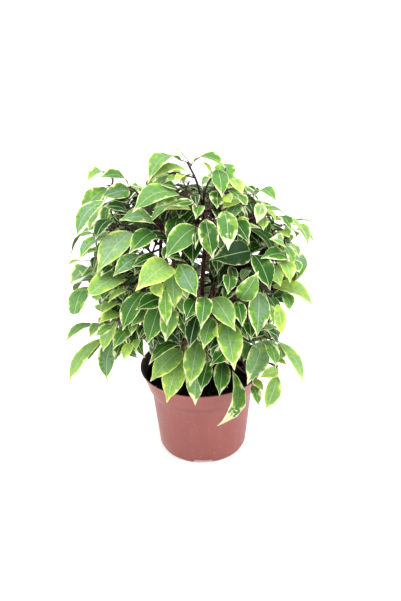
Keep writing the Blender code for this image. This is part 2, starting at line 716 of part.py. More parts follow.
def near_twigs(leaves):
    """Paths of a twig that passes close under the feet of its leaves."""
    for inset in (0.003, 0.007, 0.011):
        nodes = []
        for leaf in leaves:
            foot, tip = near_blades(leaf, None)
            nodes.append(foot - PETIOLE * (tip - foot).normalized() - inset * outward(foot) - 0.001 * UP)
        bud = nodes[-1] + 0.010 * (nodes[-1] - nodes[-2]).normalized()
        for start in twig_starts(nodes[0]):
            for aside in WAYS_ROUND:
                middle = [(start[1] + nodes[0]) / 2 + Vector(aside)] if any(aside) else []
                path = smoothed([start[1]] + middle + nodes + [bud])
                yield [start[0]] + path, path[1 + len(middle):-1]


def rule_twigs(end):
    """Paths of a twig that rises from the wood and bows over towards its end."""
    for start in twig_starts(end):
        reach = end - start[1]
        for aside in WAYS_ROUND:
            bow = 0.12 * reach.length * UP + Vector(aside)
            shares = (0, 0.35, 0.6, 0.8, 1)
            path = [start[1] + share * reach + 4 * share * (1 - share) * bow for share in shares]
            yield [start[0]] + path, None


def rule_ends():
    """Ends of the shoots that follow the rule: round the back of the dome, then in its dark inside."""
    for index in range(BACK_SHOOTS):
        height = -0.75 + 1.62 * (index + 0.5) / BACK_SHOOTS
        turn = radians(-28 + 236 * ((index * GOLDEN_STEP) % 1.0))
        level = max(0.80 if height < 0 else 0, sqrt(1 - height**2))
        way = Vector((level * cos(turn), level * sin(turn), height))
        yield f"back_{index + 1:02d}", 0.78, way
    for index in range(INNER_SHOOTS):
        turn = radians(-150 + 120 * index / (INNER_SHOOTS - 1))
        way = Vector((cos(turn), sin(turn), -0.25 + 0.3 * (index % 2)))
        yield f"inner_{index + 1:02d}", 0.50, way.normalized()


# Fitting things in among each other
class Filled:
    """Everything that is already in place, by node, as trees that can be tested for crossing."""

    def __init__(self):
        self.trees = {}

    def add(self, node, tree, centre):
        self.trees.setdefault(node, []).append((tree, centre))

    def crosses(self, tree, centre, skip=(), only=None):
        for node, members in self.trees.items():
            if node in skip or (only and node != only):
                continue
            for other, middle in members:
                near = middle is None or centre is None or (centre - middle).length < 0.075
                if near and tree.overlap(other):
                    return True
        return False


def tree_of(mesh):
    shape = bmesh.new()
    shape.from_mesh(mesh)
    tree = BVHTree.FromBMesh(shape)
    shape.free()
    return tree


def blade_tree(blade, stalk=True):
    shape = leaf_shape(blade, BLADE_THICK + 2 * CLEARANCE, stalk)
    tree = BVHTree.FromBMesh(shape)
    shape.free()
    return tree


def is_clear(blade, name, filled):
    centre = (blade.foot + blade.tip) / 2
    if filled.crosses(blade_tree(blade), centre, skip=(name,)):
        return False
    return not filled.crosses(blade_tree(blade, stalk=False), centre, only=name)


def lay_twig(name, paths, filled, scrap):
    for path, nodes in paths:
        radii = taper(len(path) - 1, TWIG_RADIUS, TWIG_END_RADIUS) + [0.5 * TWIG_END_RADIUS]
        trees = []
        for first in (path[0], path[0].lerp(path[1], 0.35)):
            fat = rod("try", [first] + path[1:], [radius + CLEARANCE for radius in radii], 4, scrap)
            trees.append(tree_of(fat.data))
            bpy.data.objects.remove(fat, do_unlink=True)
        if filled.crosses(trees[0], None, skip=STEMS) or filled.crosses(trees[1], None):
            continue
        filled.add(name, trees[0], None)
        return path, radii, nodes
    print("no room for the twig of", name)
    return None


def lay_leaf(name, poses, filled):
    for blade in poses:
        if is_clear(blade, name, filled):
            filled.add(name, blade_tree(blade), (blade.foot + blade.tip) / 2)
            return blade
    return None


def build_shoot(name, twig, blades, parts, joined, finish):
    path, radii, _ = twig
    stem = rod(name, path, radii, 4, parts)
    for index, blade in enumerate(blades):
        mesh = bpy.data.meshes.new(f"leaf_{index}")
        shape = leaf_shape(blade, BLADE_THICK)
        shape.to_mesh(mesh)
        shape.free()
        add_object(mesh.name, mesh, joined)
    boolean(stem, joined, "UNION")
    applied(stem, name, parts, finish)
    remove_all(joined)


def main():
    clear_scene()
    parts = new_collection("weeping_fig")
    scrap = new_collection("cutters")
    plastic = material("pot_plastic", (0.50, 0.19, 0.14), 0.45)
    mix = material("potting_mix", (0.012, 0.010, 0.008), 0.95)
    bark = material("bark", (0.12, 0.06, 0.035), 0.8)
    green = material("leaf_green", (0.13, 0.30, 0.06), 0.4)

    build_pot(parts, scrap, plastic)
    build_soil(parts, scrap, mix)
    filled = Filled()
    for name in ("pot", "soil"):
        filled.add(name, tree_of(parts.objects[name].data), None)
    for name, stem in STEMS.items():
        made = build_stem(name, stem, parts, scrap, bark)
        filled.add(name, tree_of(made.data), None)

    twigs = {}
    for name, leaves in NEAR_SHOOTS.items():
        twigs[f"shoot_{name}"] = lay_twig(f"shoot_{name}", near_twigs(leaves), filled, scrap)
    for name, layer, way in rule_ends():
        end = CROWN_MIDDLE + Vector([layer * part * radius for part, radius in zip(way, CROWN_RADII)])
        twigs[f"shoot_{name}"] = lay_twig(f"shoot_{name}", rule_twigs(end), filled, scrap)

    blades = {name: [] for name in twigs}
    lost = 0
    near = [
        (leaf, name, index) for name, leaves in NEAR_SHOOTS.items() for index, leaf in enumerate(leaves)
        if twigs[f"shoot_{name}"]
    ]
    for leaf, name, index in sorted(near, key=lambda entry: -entry[0].width):
        node_name = f"shoot_{name}"
        blade = lay_leaf(node_name, near_blades(leaf, twigs[node_name][2][index]), filled)
        if blade:
            blades[node_name].append(blade)
        else:
            lost += 1
            print("no room for leaf", index, "of", name)
    for name, _, _ in rule_ends():
        node_name = f"shoot_{name}"
        twig = twigs[node_name]
        for index in range(RULE_LEAVES if twig else 0):
            spot = 2 + index * (len(twig[0]) - 3.3) / (RULE_LEAVES - 1)
            low = min(int(spot), len(twig[0]) - 2)
            node = twig[0][low].lerp(twig[0][low + 1], spot - low)
            along = (twig[0][low + 1] - twig[0][low]).normalized()
            blade = lay_leaf(node_name, rule_blades(name, index, node, along), filled)
            if blade:
                blades[node_name].append(blade)
            else:
                lost += 1
    for name, twig in twigs.items():
        if twig:
            build_shoot(name, twig, blades[name], parts, scrap, green)
    print(len(parts.objects), "nodes,", sum(map(len, blades.values())), "leaves,", lost, "left out")


main()
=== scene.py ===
# %% [markdown]
# A young weeping fig stands in a plastic nursery pot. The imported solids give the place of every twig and
# blade, and this lesson dresses them: rounded leaves with cream margins, barky twigs, a moulded pot and a
# dark, crumbly potting mix. First the solids come in, and nothing is left selected.

# %% Load the solids
import json
import random
from collections import namedtuple
from math import cos, pi, radians, sin, sqrt

import bpy
from mathutils import Matrix, Vector, noise
from mathutils.bvhtree import BVHTree
from mathutils.kdtree import KDTree

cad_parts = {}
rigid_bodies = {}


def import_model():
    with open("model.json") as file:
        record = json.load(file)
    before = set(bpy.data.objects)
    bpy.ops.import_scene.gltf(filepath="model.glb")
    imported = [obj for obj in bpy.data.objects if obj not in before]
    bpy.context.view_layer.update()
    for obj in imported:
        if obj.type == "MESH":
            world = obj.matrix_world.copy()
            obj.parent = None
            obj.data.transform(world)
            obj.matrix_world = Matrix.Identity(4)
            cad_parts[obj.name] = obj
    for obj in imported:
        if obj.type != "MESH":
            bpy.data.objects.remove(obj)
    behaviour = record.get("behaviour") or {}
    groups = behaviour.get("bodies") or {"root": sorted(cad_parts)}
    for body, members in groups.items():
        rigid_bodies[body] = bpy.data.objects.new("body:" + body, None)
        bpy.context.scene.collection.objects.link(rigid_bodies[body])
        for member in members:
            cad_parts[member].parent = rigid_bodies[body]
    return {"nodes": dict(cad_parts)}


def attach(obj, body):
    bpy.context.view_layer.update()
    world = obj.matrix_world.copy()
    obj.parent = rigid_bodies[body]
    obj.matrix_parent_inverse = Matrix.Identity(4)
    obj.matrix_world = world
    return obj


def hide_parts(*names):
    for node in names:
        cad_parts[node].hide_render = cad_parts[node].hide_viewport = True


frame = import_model()
bpy.ops.object.select_all(action="DESELECT")
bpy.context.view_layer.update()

# %% [markdown]
# The camera stands where the photographer stood: 0.8 m from the plant, looking down at 27 degrees, and
# turned by about one degree. The long lens keeps the pot's sides nearly parallel.

# %% Camera
PICTURE_MIDDLE = (200.5, 300.5)
PICTURE_HEIGHT = 601
FOCAL_PIXELS = 845.0
SIGHT_TILT = radians(26.6)
SIGHT_ROLL = radians(-1.12)
SIGHT_TARGET = Vector((0.0003, 0.0, 0.158))
SIGHT_DISTANCE = 0.8
SENSOR_HEIGHT = 36.0
UP = Vector((0.0, 0.0, 1.0))

forward = Vector((0.0, cos(SIGHT_TILT), -sin(SIGHT_TILT)))
level = Vector((1.0, 0.0, 0.0))
upright = level.cross(forward)
sight_right = cos(SIGHT_ROLL) * level + sin(SIGHT_ROLL) * upright
sight_above = -sin(SIGHT_ROLL) * level + cos(SIGHT_ROLL) * upright
eye = SIGHT_TARGET - SIGHT_DISTANCE * forward

bpy.ops.object.camera_add(location=eye)
camera = bpy.context.object
turn = Matrix((sight_right, sight_above, -forward)).transposed().to_4x4()
camera.matrix_world = Matrix.Translation(eye) @ turn
camera.data.sensor_fit = "VERTICAL"
camera.data.sensor_height = SENSOR_HEIGHT
camera.data.lens = SENSOR_HEIGHT * FOCAL_PIXELS / PICTURE_HEIGHT
camera.data.clip_end = 60.0
bpy.context.scene.camera = camera
print("lens", round(camera.data.lens, 1), "mm")

# %% [markdown]
# The picture was taken in a white studio with soft light from all round, and a little more from above and
# the right. A broad lamp above, one on each side, a wide soft sun and a pale world give that.

# %% Light and floor


def soft_light(name, place, aim, size, power):
    """A square soft box at a place, which faces the aim. Its power is in watts."""
    bpy.ops.object.light_add(type="AREA", location=place)
    lamp = bpy.context.object
    lamp.name = name
    lamp.data.size = size
    lamp.data.energy = power
    lamp.rotation_euler = (Vector(aim) - Vector(place)).to_track_quat("-Z", "Y").to_euler()


soft_light("light_above", (-0.25, -0.10, 1.6), (0, 0, 0.15), 1.0, 9)
soft_light("light_left", (-1.3, -0.1, 0.7), (0, 0, 0.2), 0.9, 3.5)
soft_light("light_right", (1.3, -0.2, 0.7), (0, 0, 0.2), 0.9, 11)
bpy.ops.object.light_add(type="SUN", location=(0, 0, 2))
sky_light = bpy.context.object
sky_light.data.energy = 2.05
sky_light.data.angle = radians(90)
sky_light.rotation_euler = (radians(8), radians(-8), 0)

world = bpy.data.worlds.new("studio")
world.use_nodes = True
sky = world.node_tree.nodes["Background"].inputs
sky["Color"].default_value = (1.0, 1.0, 1.0, 1.0)
sky["Strength"].default_value = 0.75
bpy.context.scene.world = world
bpy.context.scene.view_settings.view_transform = "Standard"

bpy.ops.mesh.primitive_plane_add(size=40)
floor = bpy.context.object
floor.name = "floor"
bpy.ops.object.select_all(action="DESELECT")
print("light and floor set")

# %% [markdown]
# Materials are made of nodes. These few helpers add a node with its values, so that each material below
# reads as a short list of what is mixed with what.

# %% Helpers for materials


def paint(red, green, blue):
    """A colour given as on a screen, 0 to 255, turned into the linear values that a shader takes."""
    parts = [value / 255 for value in (red, green, blue)]
    linear = [part / 12.92 if part < 0.04045 else ((part + 0.055) / 1.055) ** 2.4 for part in parts]
    return (*linear, 1.0)


def give(tree, node, inputs):
    """Set a node's inputs, each given as a value or as a socket to join."""
    for key, value in inputs.items():
        if isinstance(value, bpy.types.NodeSocket):
            tree.links.new(value, node.inputs[key])
        else:
            node.inputs[key].default_value = value


def put(tree, kind, inputs=None, **settings):
    """Add a node with its settings and inputs."""
    made = tree.nodes.new(kind)
    for key, value in settings.items():
        setattr(made, key, value)
    give(tree, made, inputs or {})
    return made


def sums(tree, operation, first, second=0.5):
    """A Math node. An operation of one number takes no notice of the second."""
    return put(tree, "ShaderNodeMath", {0: first, 1: second}, operation=operation).outputs[0]


def step_between(tree, value, low, high, to_low=0.0, to_high=1.0):
    """A smooth step from one value to another, as its input goes from low to high."""
    inputs = {"Value": value, "From Min": low, "From Max": high, "To Min": to_low, "To Max": to_high}
    return put(tree, "ShaderNodeMapRange", inputs, interpolation_type="SMOOTHSTEP").outputs["Result"]


def mixed(tree, share, first, second):
    """Two colours mixed: share 0 gives the first one. A Mix node's colours are its sockets 6 and 7."""
    return put(tree, "ShaderNodeMix", {0: share, 6: first, 7: second}, data_type="RGBA").outputs[2]


def cloud(tree, place, scale, detail=3.0, roughness=0.55):
    inputs = {"Vector": place, "Scale": scale, "Detail": detail, "Roughness": roughness}
    return put(tree, "ShaderNodeTexNoise", inputs).outputs["Fac"]


def new_material(name):
    made = bpy.data.materials.new(name)
    made.use_nodes = True
    return made, made.node_tree, made.node_tree.nodes["Principled BSDF"]


def bump(tree, height, strength, distance):
    inputs = {"Height": height, "Strength": strength, "Distance": distance}
    return put(tree, "ShaderNodeBump", inputs).outputs["Normal"]


def object_place(tree):
    return put(tree, "ShaderNodeTexCoord").outputs["Object"]


def attribute(tree, name, output="Vector"):
    return put(tree, "ShaderNodeAttribute", attribute_name=name).outputs[output]


def parts_of(tree, vector):
    """The three numbers of a vector, as sockets."""
    return put(tree, "ShaderNodeSeparateXYZ", {0: vector}).outputs


floor_finish, tree, shader = new_material("studio_floor")
grain = cloud(tree, object_place(tree), 3.0)
give(tree, shader, {
    "Base Color": mixed(tree, grain, paint(248, 248, 247), paint(252, 252, 252)),
    "Roughness": 0.9, "Emission Color": (1.0, 1.0, 1.0, 1.0), "Emission Strength": 0.25,
})
floor.data.materials.append(floor_finish)
print("floor finish:", floor_finish.name)

# %% [markdown]
# Dust, flow marks and worn patches turn up in the plastic, the bark and the mix, each at its own scale. One
# node group gives all three: a soft mottle, sharp specks, and a fine height for bumps.

# %% A shared group for mottle and specks
SURFACE_INPUTS = ("Scale", "Speck Scale", "Speck Share")


def surface_group():
    group = bpy.data.node_groups.new("mottle_and_specks", "ShaderNodeTree")
    for way, names in (("INPUT", SURFACE_INPUTS), ("OUTPUT", ("Mottle", "Specks", "Height"))):
        for name in names:
            group.interface.new_socket(name=name, in_out=way, socket_type="NodeSocketFloat")
    given = group.nodes.new("NodeGroupInput").outputs
    out = group.nodes.new("NodeGroupOutput").inputs
    place = object_place(group)
    mottle = cloud(group, place, given["Scale"], 5.0, 0.6)
    fine = cloud(group, place, given["Speck Scale"], 2.0)
    edge = sums(group, "ADD", given["Speck Share"], 0.03)
    specks = put(
        group, "ShaderNodeMapRange", {"Value": fine, "From Min": given["Speck Share"], "From Max": edge}
    ).outputs["Result"]
    group.links.new(mottle, out["Mottle"])
    group.links.new(specks, out["Specks"])
    group.links.new(sums(group, "ADD", sums(group, "MULTIPLY", fine, 0.4), mottle), out["Height"])
    return group


SURFACE = surface_group()


def surface(tree, *values):
    """The group's outputs, for a scale of the mottle, a scale of the specks and how rare they are."""
    return put(tree, "ShaderNodeGroup", dict(zip(SURFACE_INPUTS, values)), node_tree=SURFACE).outputs


def specked(tree, marks, strength, base, colour):
    """A base colour with specks of another."""
    return mixed(tree, sums(tree, "MULTIPLY", marks["Specks"], strength), base, colour)


print("shared group:", SURFACE.name)

# %% [markdown]
# The pot is thin moulded plastic, the colour of dusty terracotta. It is a little redder at its foot and rim,
# and the band right under the collar is painted darker, as painted shade. It has faint streaks down its side,
# where the plastic flowed, and dust.

# %% Pot plastic
plastic, tree, shader = new_material("terracotta_plastic")
marks = surface(tree, 22.0, 900.0, 0.70)
streak_place = put(tree, "ShaderNodeMapping", {"Vector": object_place(tree), "Scale": (1.0, 1.0, 0.12)})
streaks = cloud(tree, streak_place.outputs[0], 120.0, 3.0)
clay = mixed(tree, marks["Mottle"], paint(132, 62, 56), paint(146, 76, 70))
clay = mixed(tree, step_between(tree, streaks, 0.45, 0.75, 0.0, 0.16), clay, paint(162, 98, 92))
height = parts_of(tree, object_place(tree))["Z"]
clay = mixed(tree, step_between(tree, height, 0.012, 0.0, 0.0, 0.4), clay, paint(136, 56, 48))
clay = mixed(tree, step_between(tree, height, 0.0868, 0.0886, 0.0, 0.5), clay, paint(136, 60, 52))
# Painted shade: the band right under the collar's step is darkened, where shade falls under the collar.
shade_under_collar = sums(tree, "MULTIPLY", step_between(tree, height, 0.0620, 0.0655, 0.0, 0.3),
                    step_between(tree, height, 0.0712, 0.0692))
clay = mixed(tree, shade_under_collar, clay, paint(96, 38, 34))
give(tree, shader, {
    "Base Color": specked(tree, marks, 0.6, clay, paint(226, 205, 198)),
    "Roughness": step_between(tree, marks["Mottle"], 0.3, 0.7, 0.36, 0.52),
    "Normal": bump(tree, marks["Height"], 0.12, 0.0004),
    "Specular IOR Level": 0.45, "Coat Weight": 0.12, "Coat Roughness": 0.28,
})
print("pot finish:", plastic.name)

# The inner wall is painted near black: painted shade in the hollow of the pot, with mottle and pale dust
# specks.
inside_finish, tree, shader = new_material("painted_shade_pot_inside")
marks = surface(tree, 60.0, 800.0, 0.66)
painted_shade = mixed(tree, marks["Mottle"], paint(16, 14, 12), paint(52, 40, 34))
give(tree, shader, {
    "Base Color": specked(tree, marks, 0.6, painted_shade, paint(110, 104, 92)),
    "Roughness": step_between(tree, marks["Mottle"], 0.3, 0.7, 0.45, 0.8),
    "Normal": bump(tree, marks["Height"], 0.3, 0.0006),
})
print("inside finish:", inside_finish.name)

# %% [markdown]
# A pot is a solid of revolution, so its half section is drawn once and spun. Blender's spin turns the
# section in edit mode. The rounded rim, the collar's step and the foot ring are all points of the section.

# %% Spin the pot
POT_HEIGHT = 0.0886
WALL = 0.0012
FLOOR_UNDERSIDE = 0.0045
BASE_RADIUS = 0.0416
PAD_RADIUS = 0.0090
POT_OUTER = (
    (BASE_RADIUS, 0.0003), (0.0422, 0.0018), (0.0434, 0.0040), (0.0448, 0.0180), (0.0461, 0.0300),
    (0.0475, 0.0440), (0.0488, 0.0560), (0.0494, 0.0620), (0.0498, 0.0638), (0.0506, 0.0652),
    (0.0520, 0.0673), (0.0529, 0.0688), (0.0535, 0.0705), (0.0552, 0.0765), (0.0571, 0.0832),
    (0.0578, 0.0853), (0.0587, 0.0867), (0.0596, 0.0874), (0.0600, 0.0879), (0.0600, 0.0883),
    (0.0597, 0.0886),
)
SPIN_STEPS = 112


def added(name, data):
    """An object of this mesh or curve, put into the scene."""
    piece = bpy.data.objects.new(name, data)
    bpy.context.scene.collection.objects.link(piece)
    return piece


def make_active(*pieces):
    """Select these pieces alone. The first one is the active one."""
    bpy.ops.object.select_all(action="DESELECT")
    for piece in pieces:
        piece.select_set(True)
    bpy.context.view_layer.objects.active = pieces[0]


def joined(pieces):
    make_active(*pieces)
    if len(pieces) > 1:
        bpy.ops.object.join()
    return bpy.context.view_layer.objects.active


def apply_modifiers(piece):
    make_active(piece)
    for modifier in list(piece.modifiers):
        bpy.ops.object.modifier_apply(modifier=modifier.name)


def edit_whole(piece, *steps):
    """Run steps of mesh editing, each on all of a piece. A step is an operator and its settings."""
    make_active(piece)
    bpy.ops.object.mode_set(mode="EDIT")
    for operator, settings in steps:
        bpy.ops.mesh.select_all(action="SELECT")
        operator(**settings)
    bpy.ops.object.mode_set(mode="OBJECT")


def weld(distance):
    """A step that joins corners which are this close."""
    return bpy.ops.mesh.remove_doubles, {"threshold": distance}


def spun(name, section, steps):
    """A closed piece of revolution from a half section that starts and ends on the axis."""
    mesh = bpy.data.meshes.new(name)
    links = [(index, index + 1) for index in range(len(section) - 1)]
    mesh.from_pydata([(radius, 0.0, rise) for radius, rise in section], links, [])
    piece = added(name, mesh)
    full_turn = {"steps": steps, "angle": 2 * pi, "center": (0, 0, 0), "axis": (0, 0, 1)}
    outside_out = (bpy.ops.mesh.normals_make_consistent, {"inside": False})
    edit_whole(piece, (bpy.ops.mesh.spin, full_turn), weld(0.00001), outside_out)
    return piece


def pot_section():
    inner = [(radius - WALL, rise) for radius, rise in POT_OUTER[3:-2]]
    floor_top = FLOOR_UNDERSIDE + WALL
    foot_inner = BASE_RADIUS - 1.5 * WALL
    return (
        [(0.0, WALL), (PAD_RADIUS - 0.5 * WALL, WALL), (PAD_RADIUS + WALL, floor_top), (0.0422, floor_top)]
        + inner + [(0.0590, 0.0883), (0.0593, POT_HEIGHT)] + list(reversed(POT_OUTER))
        + [(BASE_RADIUS - 0.0003, 0.0), (foot_inner + 0.0003, 0.0), (foot_inner, 0.0004),
           (foot_inner, FLOOR_UNDERSIDE), (PAD_RADIUS + 1.6 * WALL, FLOOR_UNDERSIDE),
           (PAD_RADIUS, 0.0), (0.0, 0.0)]
    )


pot = spun("nursery_pot", pot_section(), SPIN_STEPS)
print("pot of", len(pot.data.polygons), "faces")

# %% [markdown]
# Three wide, low notches in the foot let water run out, and eight holes drain the base. Each is cut with a
# tool of its own: a block with sloping ends, or a drill. Blender's Boolean takes all tools as one collection.

# %% Cut the notches and drain holes
tools = bpy.data.collections.new("pot_tools")
bpy.context.scene.collection.children.link(tools)


def as_tool(piece):
    for owner in list(piece.users_collection):
        owner.objects.unlink(piece)
    tools.objects.link(piece)


NOTCHES = 3
NOTCH_LENGTH = 0.0218
NOTCH_TOP_SHARE = 0.76
NOTCH_HEIGHT = 0.0042
DRAIN_HOLES = 8
DRAIN_RADIUS = 0.0035
DRAIN_RING = 0.027
for index in range(NOTCHES):
    angle = -pi / 2 + index * 2 * pi / NOTCHES
    reach = BASE_RADIUS - WALL
    place = (reach * cos(angle), reach * sin(angle), NOTCH_HEIGHT / 2 - 0.0002)
    bpy.ops.mesh.primitive_cube_add(size=1, location=place)
    block = bpy.context.object
    block.scale = (8 * WALL, NOTCH_LENGTH, NOTCH_HEIGHT + 0.0004)
    block.rotation_euler.z = angle
    for corner in block.data.vertices:
        if corner.co.z > 0:
            corner.co.y *= NOTCH_TOP_SHARE
    bevel = block.modifiers.new("soft_corners", "BEVEL")
    bevel.width = 0.02
    apply_modifiers(block)
    as_tool(block)
for index in range(DRAIN_HOLES):
    angle = (index + 0.5) * 2 * pi / DRAIN_HOLES
    place = (DRAIN_RING * cos(angle), DRAIN_RING * sin(angle), 0.005)
    bpy.ops.mesh.primitive_cylinder_add(vertices=24, radius=DRAIN_RADIUS, depth=0.007, location=place)
    as_tool(bpy.context.object)
cut = pot.modifiers.new("cut", "BOOLEAN")
cut.operand_type = "COLLECTION"
cut.collection = tools
cut.solver = "EXACT"
apply_modifiers(pot)
for tool in list(tools.objects):
    bpy.data.objects.remove(tool, do_unlink=True)
bpy.data.collections.remove(tools)

pot.data.materials.clear()
pot.data.materials.append(plastic)
pot.data.materials.append(inside_finish)
# Inward faces from the pot's floor to just under the lip take the near-black finish of painted shade.
for face in pot.data.polygons:
    middle = face.center
    inward = face.normal.x * middle.x + face.normal.y * middle.y < 0
    face.material_index = 1 if inward and 0.0060 < middle.z < 0.0872 else 0
make_active(pot)
bpy.ops.object.shade_smooth_by_angle(angle=radians(38))
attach(pot, "root")
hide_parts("pot")
print("pot cut:", len(pot.data.polygons), "faces")

# %% [markdown]
# The potting mix is a dark, damp peat. Its body is spun like the pot, and noise raises and lowers its top.

# %% Potting mix
SOIL_TOP = 0.0780
SOIL_RELIEF = 0.0022
SOIL_RADIUS = 0.0532
SOIL_RINGS = 26
GAP = 0.0003

peat, tree, shader = new_material("peat_mix")
marks = surface(tree, 160.0, 1100.0, 0.66)
dark = mixed(tree, step_between(tree, marks["Mottle"], 0.35, 0.75), paint(2, 2, 2), paint(15, 12, 10))
give(tree, shader, {
    "Base Color": specked(tree, marks, 0.35, dark, paint(150, 140, 122)),
    "Roughness": 0.95, "Specular IOR Level": 0.1, "Normal": bump(tree, marks["Height"], 0.9, 0.0012),
})

soil_sides = [(0.0535 - GAP, 0.0750), (0.0521 - GAP, 0.0704), (0.0482 - GAP, 0.0630)]
rings = [(SOIL_RADIUS * index / SOIL_RINGS, SOIL_TOP) for index in range(SOIL_RINGS + 1)]
soil = spun("potting_mix", rings + soil_sides + [(0.0416, 0.0060), (0.0, 0.0060)], 96)
for corner in soil.data.vertices:
    if corner.co.z > SOIL_TOP - 0.0001:
        bumps = noise.noise(corner.co * 60.0) + 0.6 * noise.noise(corner.co * 170.0)
        bumps += 0.5 * noise.noise(corner.co * 420.0)
        corner.co.z += SOIL_RELIEF * bumps - 0.35 * SOIL_RELIEF
soil.data.materials.append(peat)
make_active(soil)
bpy.ops.object.shade_smooth()
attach(soil, "root")
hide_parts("soil")
print("potting mix of", len(soil.data.polygons), "faces")

# %% [markdown]
# Loose crumbs of peat lie on the mix, and a few grains of pale grit. One round lump is the model for all.
# Each is a copy of it, pushed out of shape, stretched and turned.

# %% Crumbs on the mix
crumb_finish, tree, shader = new_material("peat_crumbs")
marks = surface(tree, 300.0, 900.0, 0.7)
crumb_brown = mixed(tree, marks["Mottle"], paint(4, 3, 3), paint(32, 25, 20))
give(tree, shader, {"Base Color": crumb_brown, "Roughness": 0.9, "Specular IOR Level": 0.1})
grit_finish, tree, shader = new_material("pale_grit")
marks = surface(tree, 400.0, 900.0, 0.7)
grit = mixed(tree, marks["Mottle"], paint(190, 184, 170), paint(230, 226, 214))
give(tree, shader, {"Base Color": grit, "Roughness": 0.85})
CRUMBS = 420
CRUMB_SIZES = (0.0004, 0.0014)
CRUMB_REACH = 0.052
CRUMBS_PER_GRAIN = 17
draw = random.Random(11)
bpy.ops.mesh.primitive_ico_sphere_add(subdivisions=1, radius=1.0, location=(0, 0, 0))
lump = bpy.context.object
lump.data.materials.append(crumb_finish)
lump.data.materials.append(grit_finish)
crumbs = []
for index in range(CRUMBS):
    mesh = lump.data.copy()
    size = draw.uniform(*CRUMB_SIZES)
    radius = CRUMB_REACH * sqrt(draw.random())
    angle = draw.uniform(0, 2 * pi)
    place = Vector((radius * cos(angle), radius * sin(angle), 0.0))
    bumps = noise.noise(Vector((place.x, place.y, SOIL_TOP)) * 60.0)
    place.z = SOIL_TOP + SOIL_RELIEF * bumps + 0.2 * size
    stretch = Matrix.Diagonal((size * draw.uniform(0.7, 1.9), size, 0.7 * size, 1.0))
    spin = Matrix.Rotation(draw.uniform(0, pi), 4, (draw.random(), draw.random(), 1.0))
    for corner in mesh.vertices:
        corner.co *= draw.uniform(0.75, 1.25)
    mesh.transform(Matrix.Translation(place) @ spin @ stretch)
    for face in mesh.polygons:
        face.material_index = 1 if index % CRUMBS_PER_GRAIN == 0 else 0
    crumbs.append(added("crumb", mesh))
bpy.data.objects.remove(lump, do_unlink=True)
loose_mix = joined(crumbs)
loose_mix.name = "loose_crumbs"
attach(loose_mix, "root")
print("crumbs:", len(loose_mix.data.polygons), "faces")

# %% [markdown]
# Fig bark is smooth and reddish brown on the stems in the middle of the crown. High up and far out, where the
# wood is young, it is nearly black, and so are the twigs, which have a finish of their own. Small pale pores
# are on all of it. Leaf stalks are pale green.

# %% Bark and stalk finishes
bark, tree, shader = new_material("fig_bark")
marks = surface(tree, 160.0, 1300.0, 0.68)
aside, _, height = parts_of(tree, object_place(tree))
brown = mixed(tree, step_between(tree, marks["Mottle"], 0.3, 0.7), paint(108, 50, 40), paint(156, 94, 76))
outer_wood = step_between(tree, sums(tree, "ABSOLUTE", aside), 0.018, 0.040, 0.0, 0.9)
high_wood = step_between(tree, height, 0.215, 0.25, 0.0, 0.85)
brown = mixed(tree, sums(tree, "MAXIMUM", outer_wood, high_wood), brown, paint(27, 22, 18))
give(tree, shader, {
    "Base Color": specked(tree, marks, 0.55, brown, paint(170, 150, 128)),
    "Roughness": step_between(tree, marks["Mottle"], 0.3, 0.7, 0.55, 0.8),
    "Normal": bump(tree, marks["Height"], 0.5, 0.0004),
})

twig_bark, tree, shader = new_material("young_twig_bark")
marks = surface(tree, 220.0, 1300.0, 0.7)
brown = mixed(tree, step_between(tree, marks["Mottle"], 0.3, 0.7), paint(23, 19, 15), paint(46, 36, 28))
give(tree, shader, {
    "Base Color": specked(tree, marks, 0.4, brown, paint(150, 132, 112)),
    "Roughness": 0.62, "Normal": bump(tree, marks["Height"], 0.4, 0.0003),
})

stalk_finish, tree, shader = new_material("leaf_stalk")
marks = surface(tree, 220.0, 1500.0, 0.75)
stalk_green = mixed(tree, marks["Mottle"], paint(104, 118, 58), paint(150, 160, 92))
give(tree, shader, {"Base Color": stalk_green, "Roughness": 0.5})
print("wood finishes:", bark.name, twig_bark.name, stalk_finish.name)

# %% [markdown]
# Every stem, twig and stalk is a curve with a round bevel. More points make the curve run smoothly through
# the few that are given, each point has its own radius, and the curve becomes a mesh at the end.

# %% Rods for wood


def eased(points, parts=3):
    """More points on a smooth line through the given ones."""
    if len(points) < 3:
        return points
    ends = [2 * points[0] - points[1]] + points + [2 * points[-1] - points[-2]]
    found = []
    for before, here, there, after in zip(ends, ends[1:], ends[2:], ends[3:]):
        for index in range(parts):
            t = index / parts
            bend = (2 * before - 5 * here + 4 * there - after) * t * t
            twist = (3 * here - before - 3 * there + after) * t * t * t
            found.append(0.5 * (2 * here + (there - before) * t + bend + twist))
    return found + [points[-1]]


def taper(count, start, end):
    return [start + (end - start) * index / (count - 1) for index in range(count)]


def rods(name, runs, bevel_rings):
    """One mesh of round rods. A run is its points, its radii and the number of its finish."""
    curve = bpy.data.curves.new(name, "CURVE")
    curve.dimensions = "3D"
    curve.bevel_depth = 1.0
    curve.bevel_resolution = bevel_rings
    curve.use_fill_caps = True
    for points, radii, number in runs:
        line = curve.splines.new("POLY")
        line.points.add(len(points) - 1)
        line.material_index = number
        for spot, place, radius in zip(line.points, points, radii):
            spot.co = (*place, 1.0)
            spot.radius = radius
    for finish in (bark, stalk_finish, twig_bark):
        curve.materials.append(finish)
    make_active(added(name, curve))
    bpy.ops.object.convert(target="MESH")
    piece = bpy.context.object
    edit_whole(piece, weld(0.000001))
    bpy.ops.object.shade_smooth_by_angle(angle=radians(50))
    return piece


# %% [markdown]
# Four rooted stems stand in the mix. They are the same lines as the solids, with more points, slight bends
# and swellings, so they look grown instead of drawn.

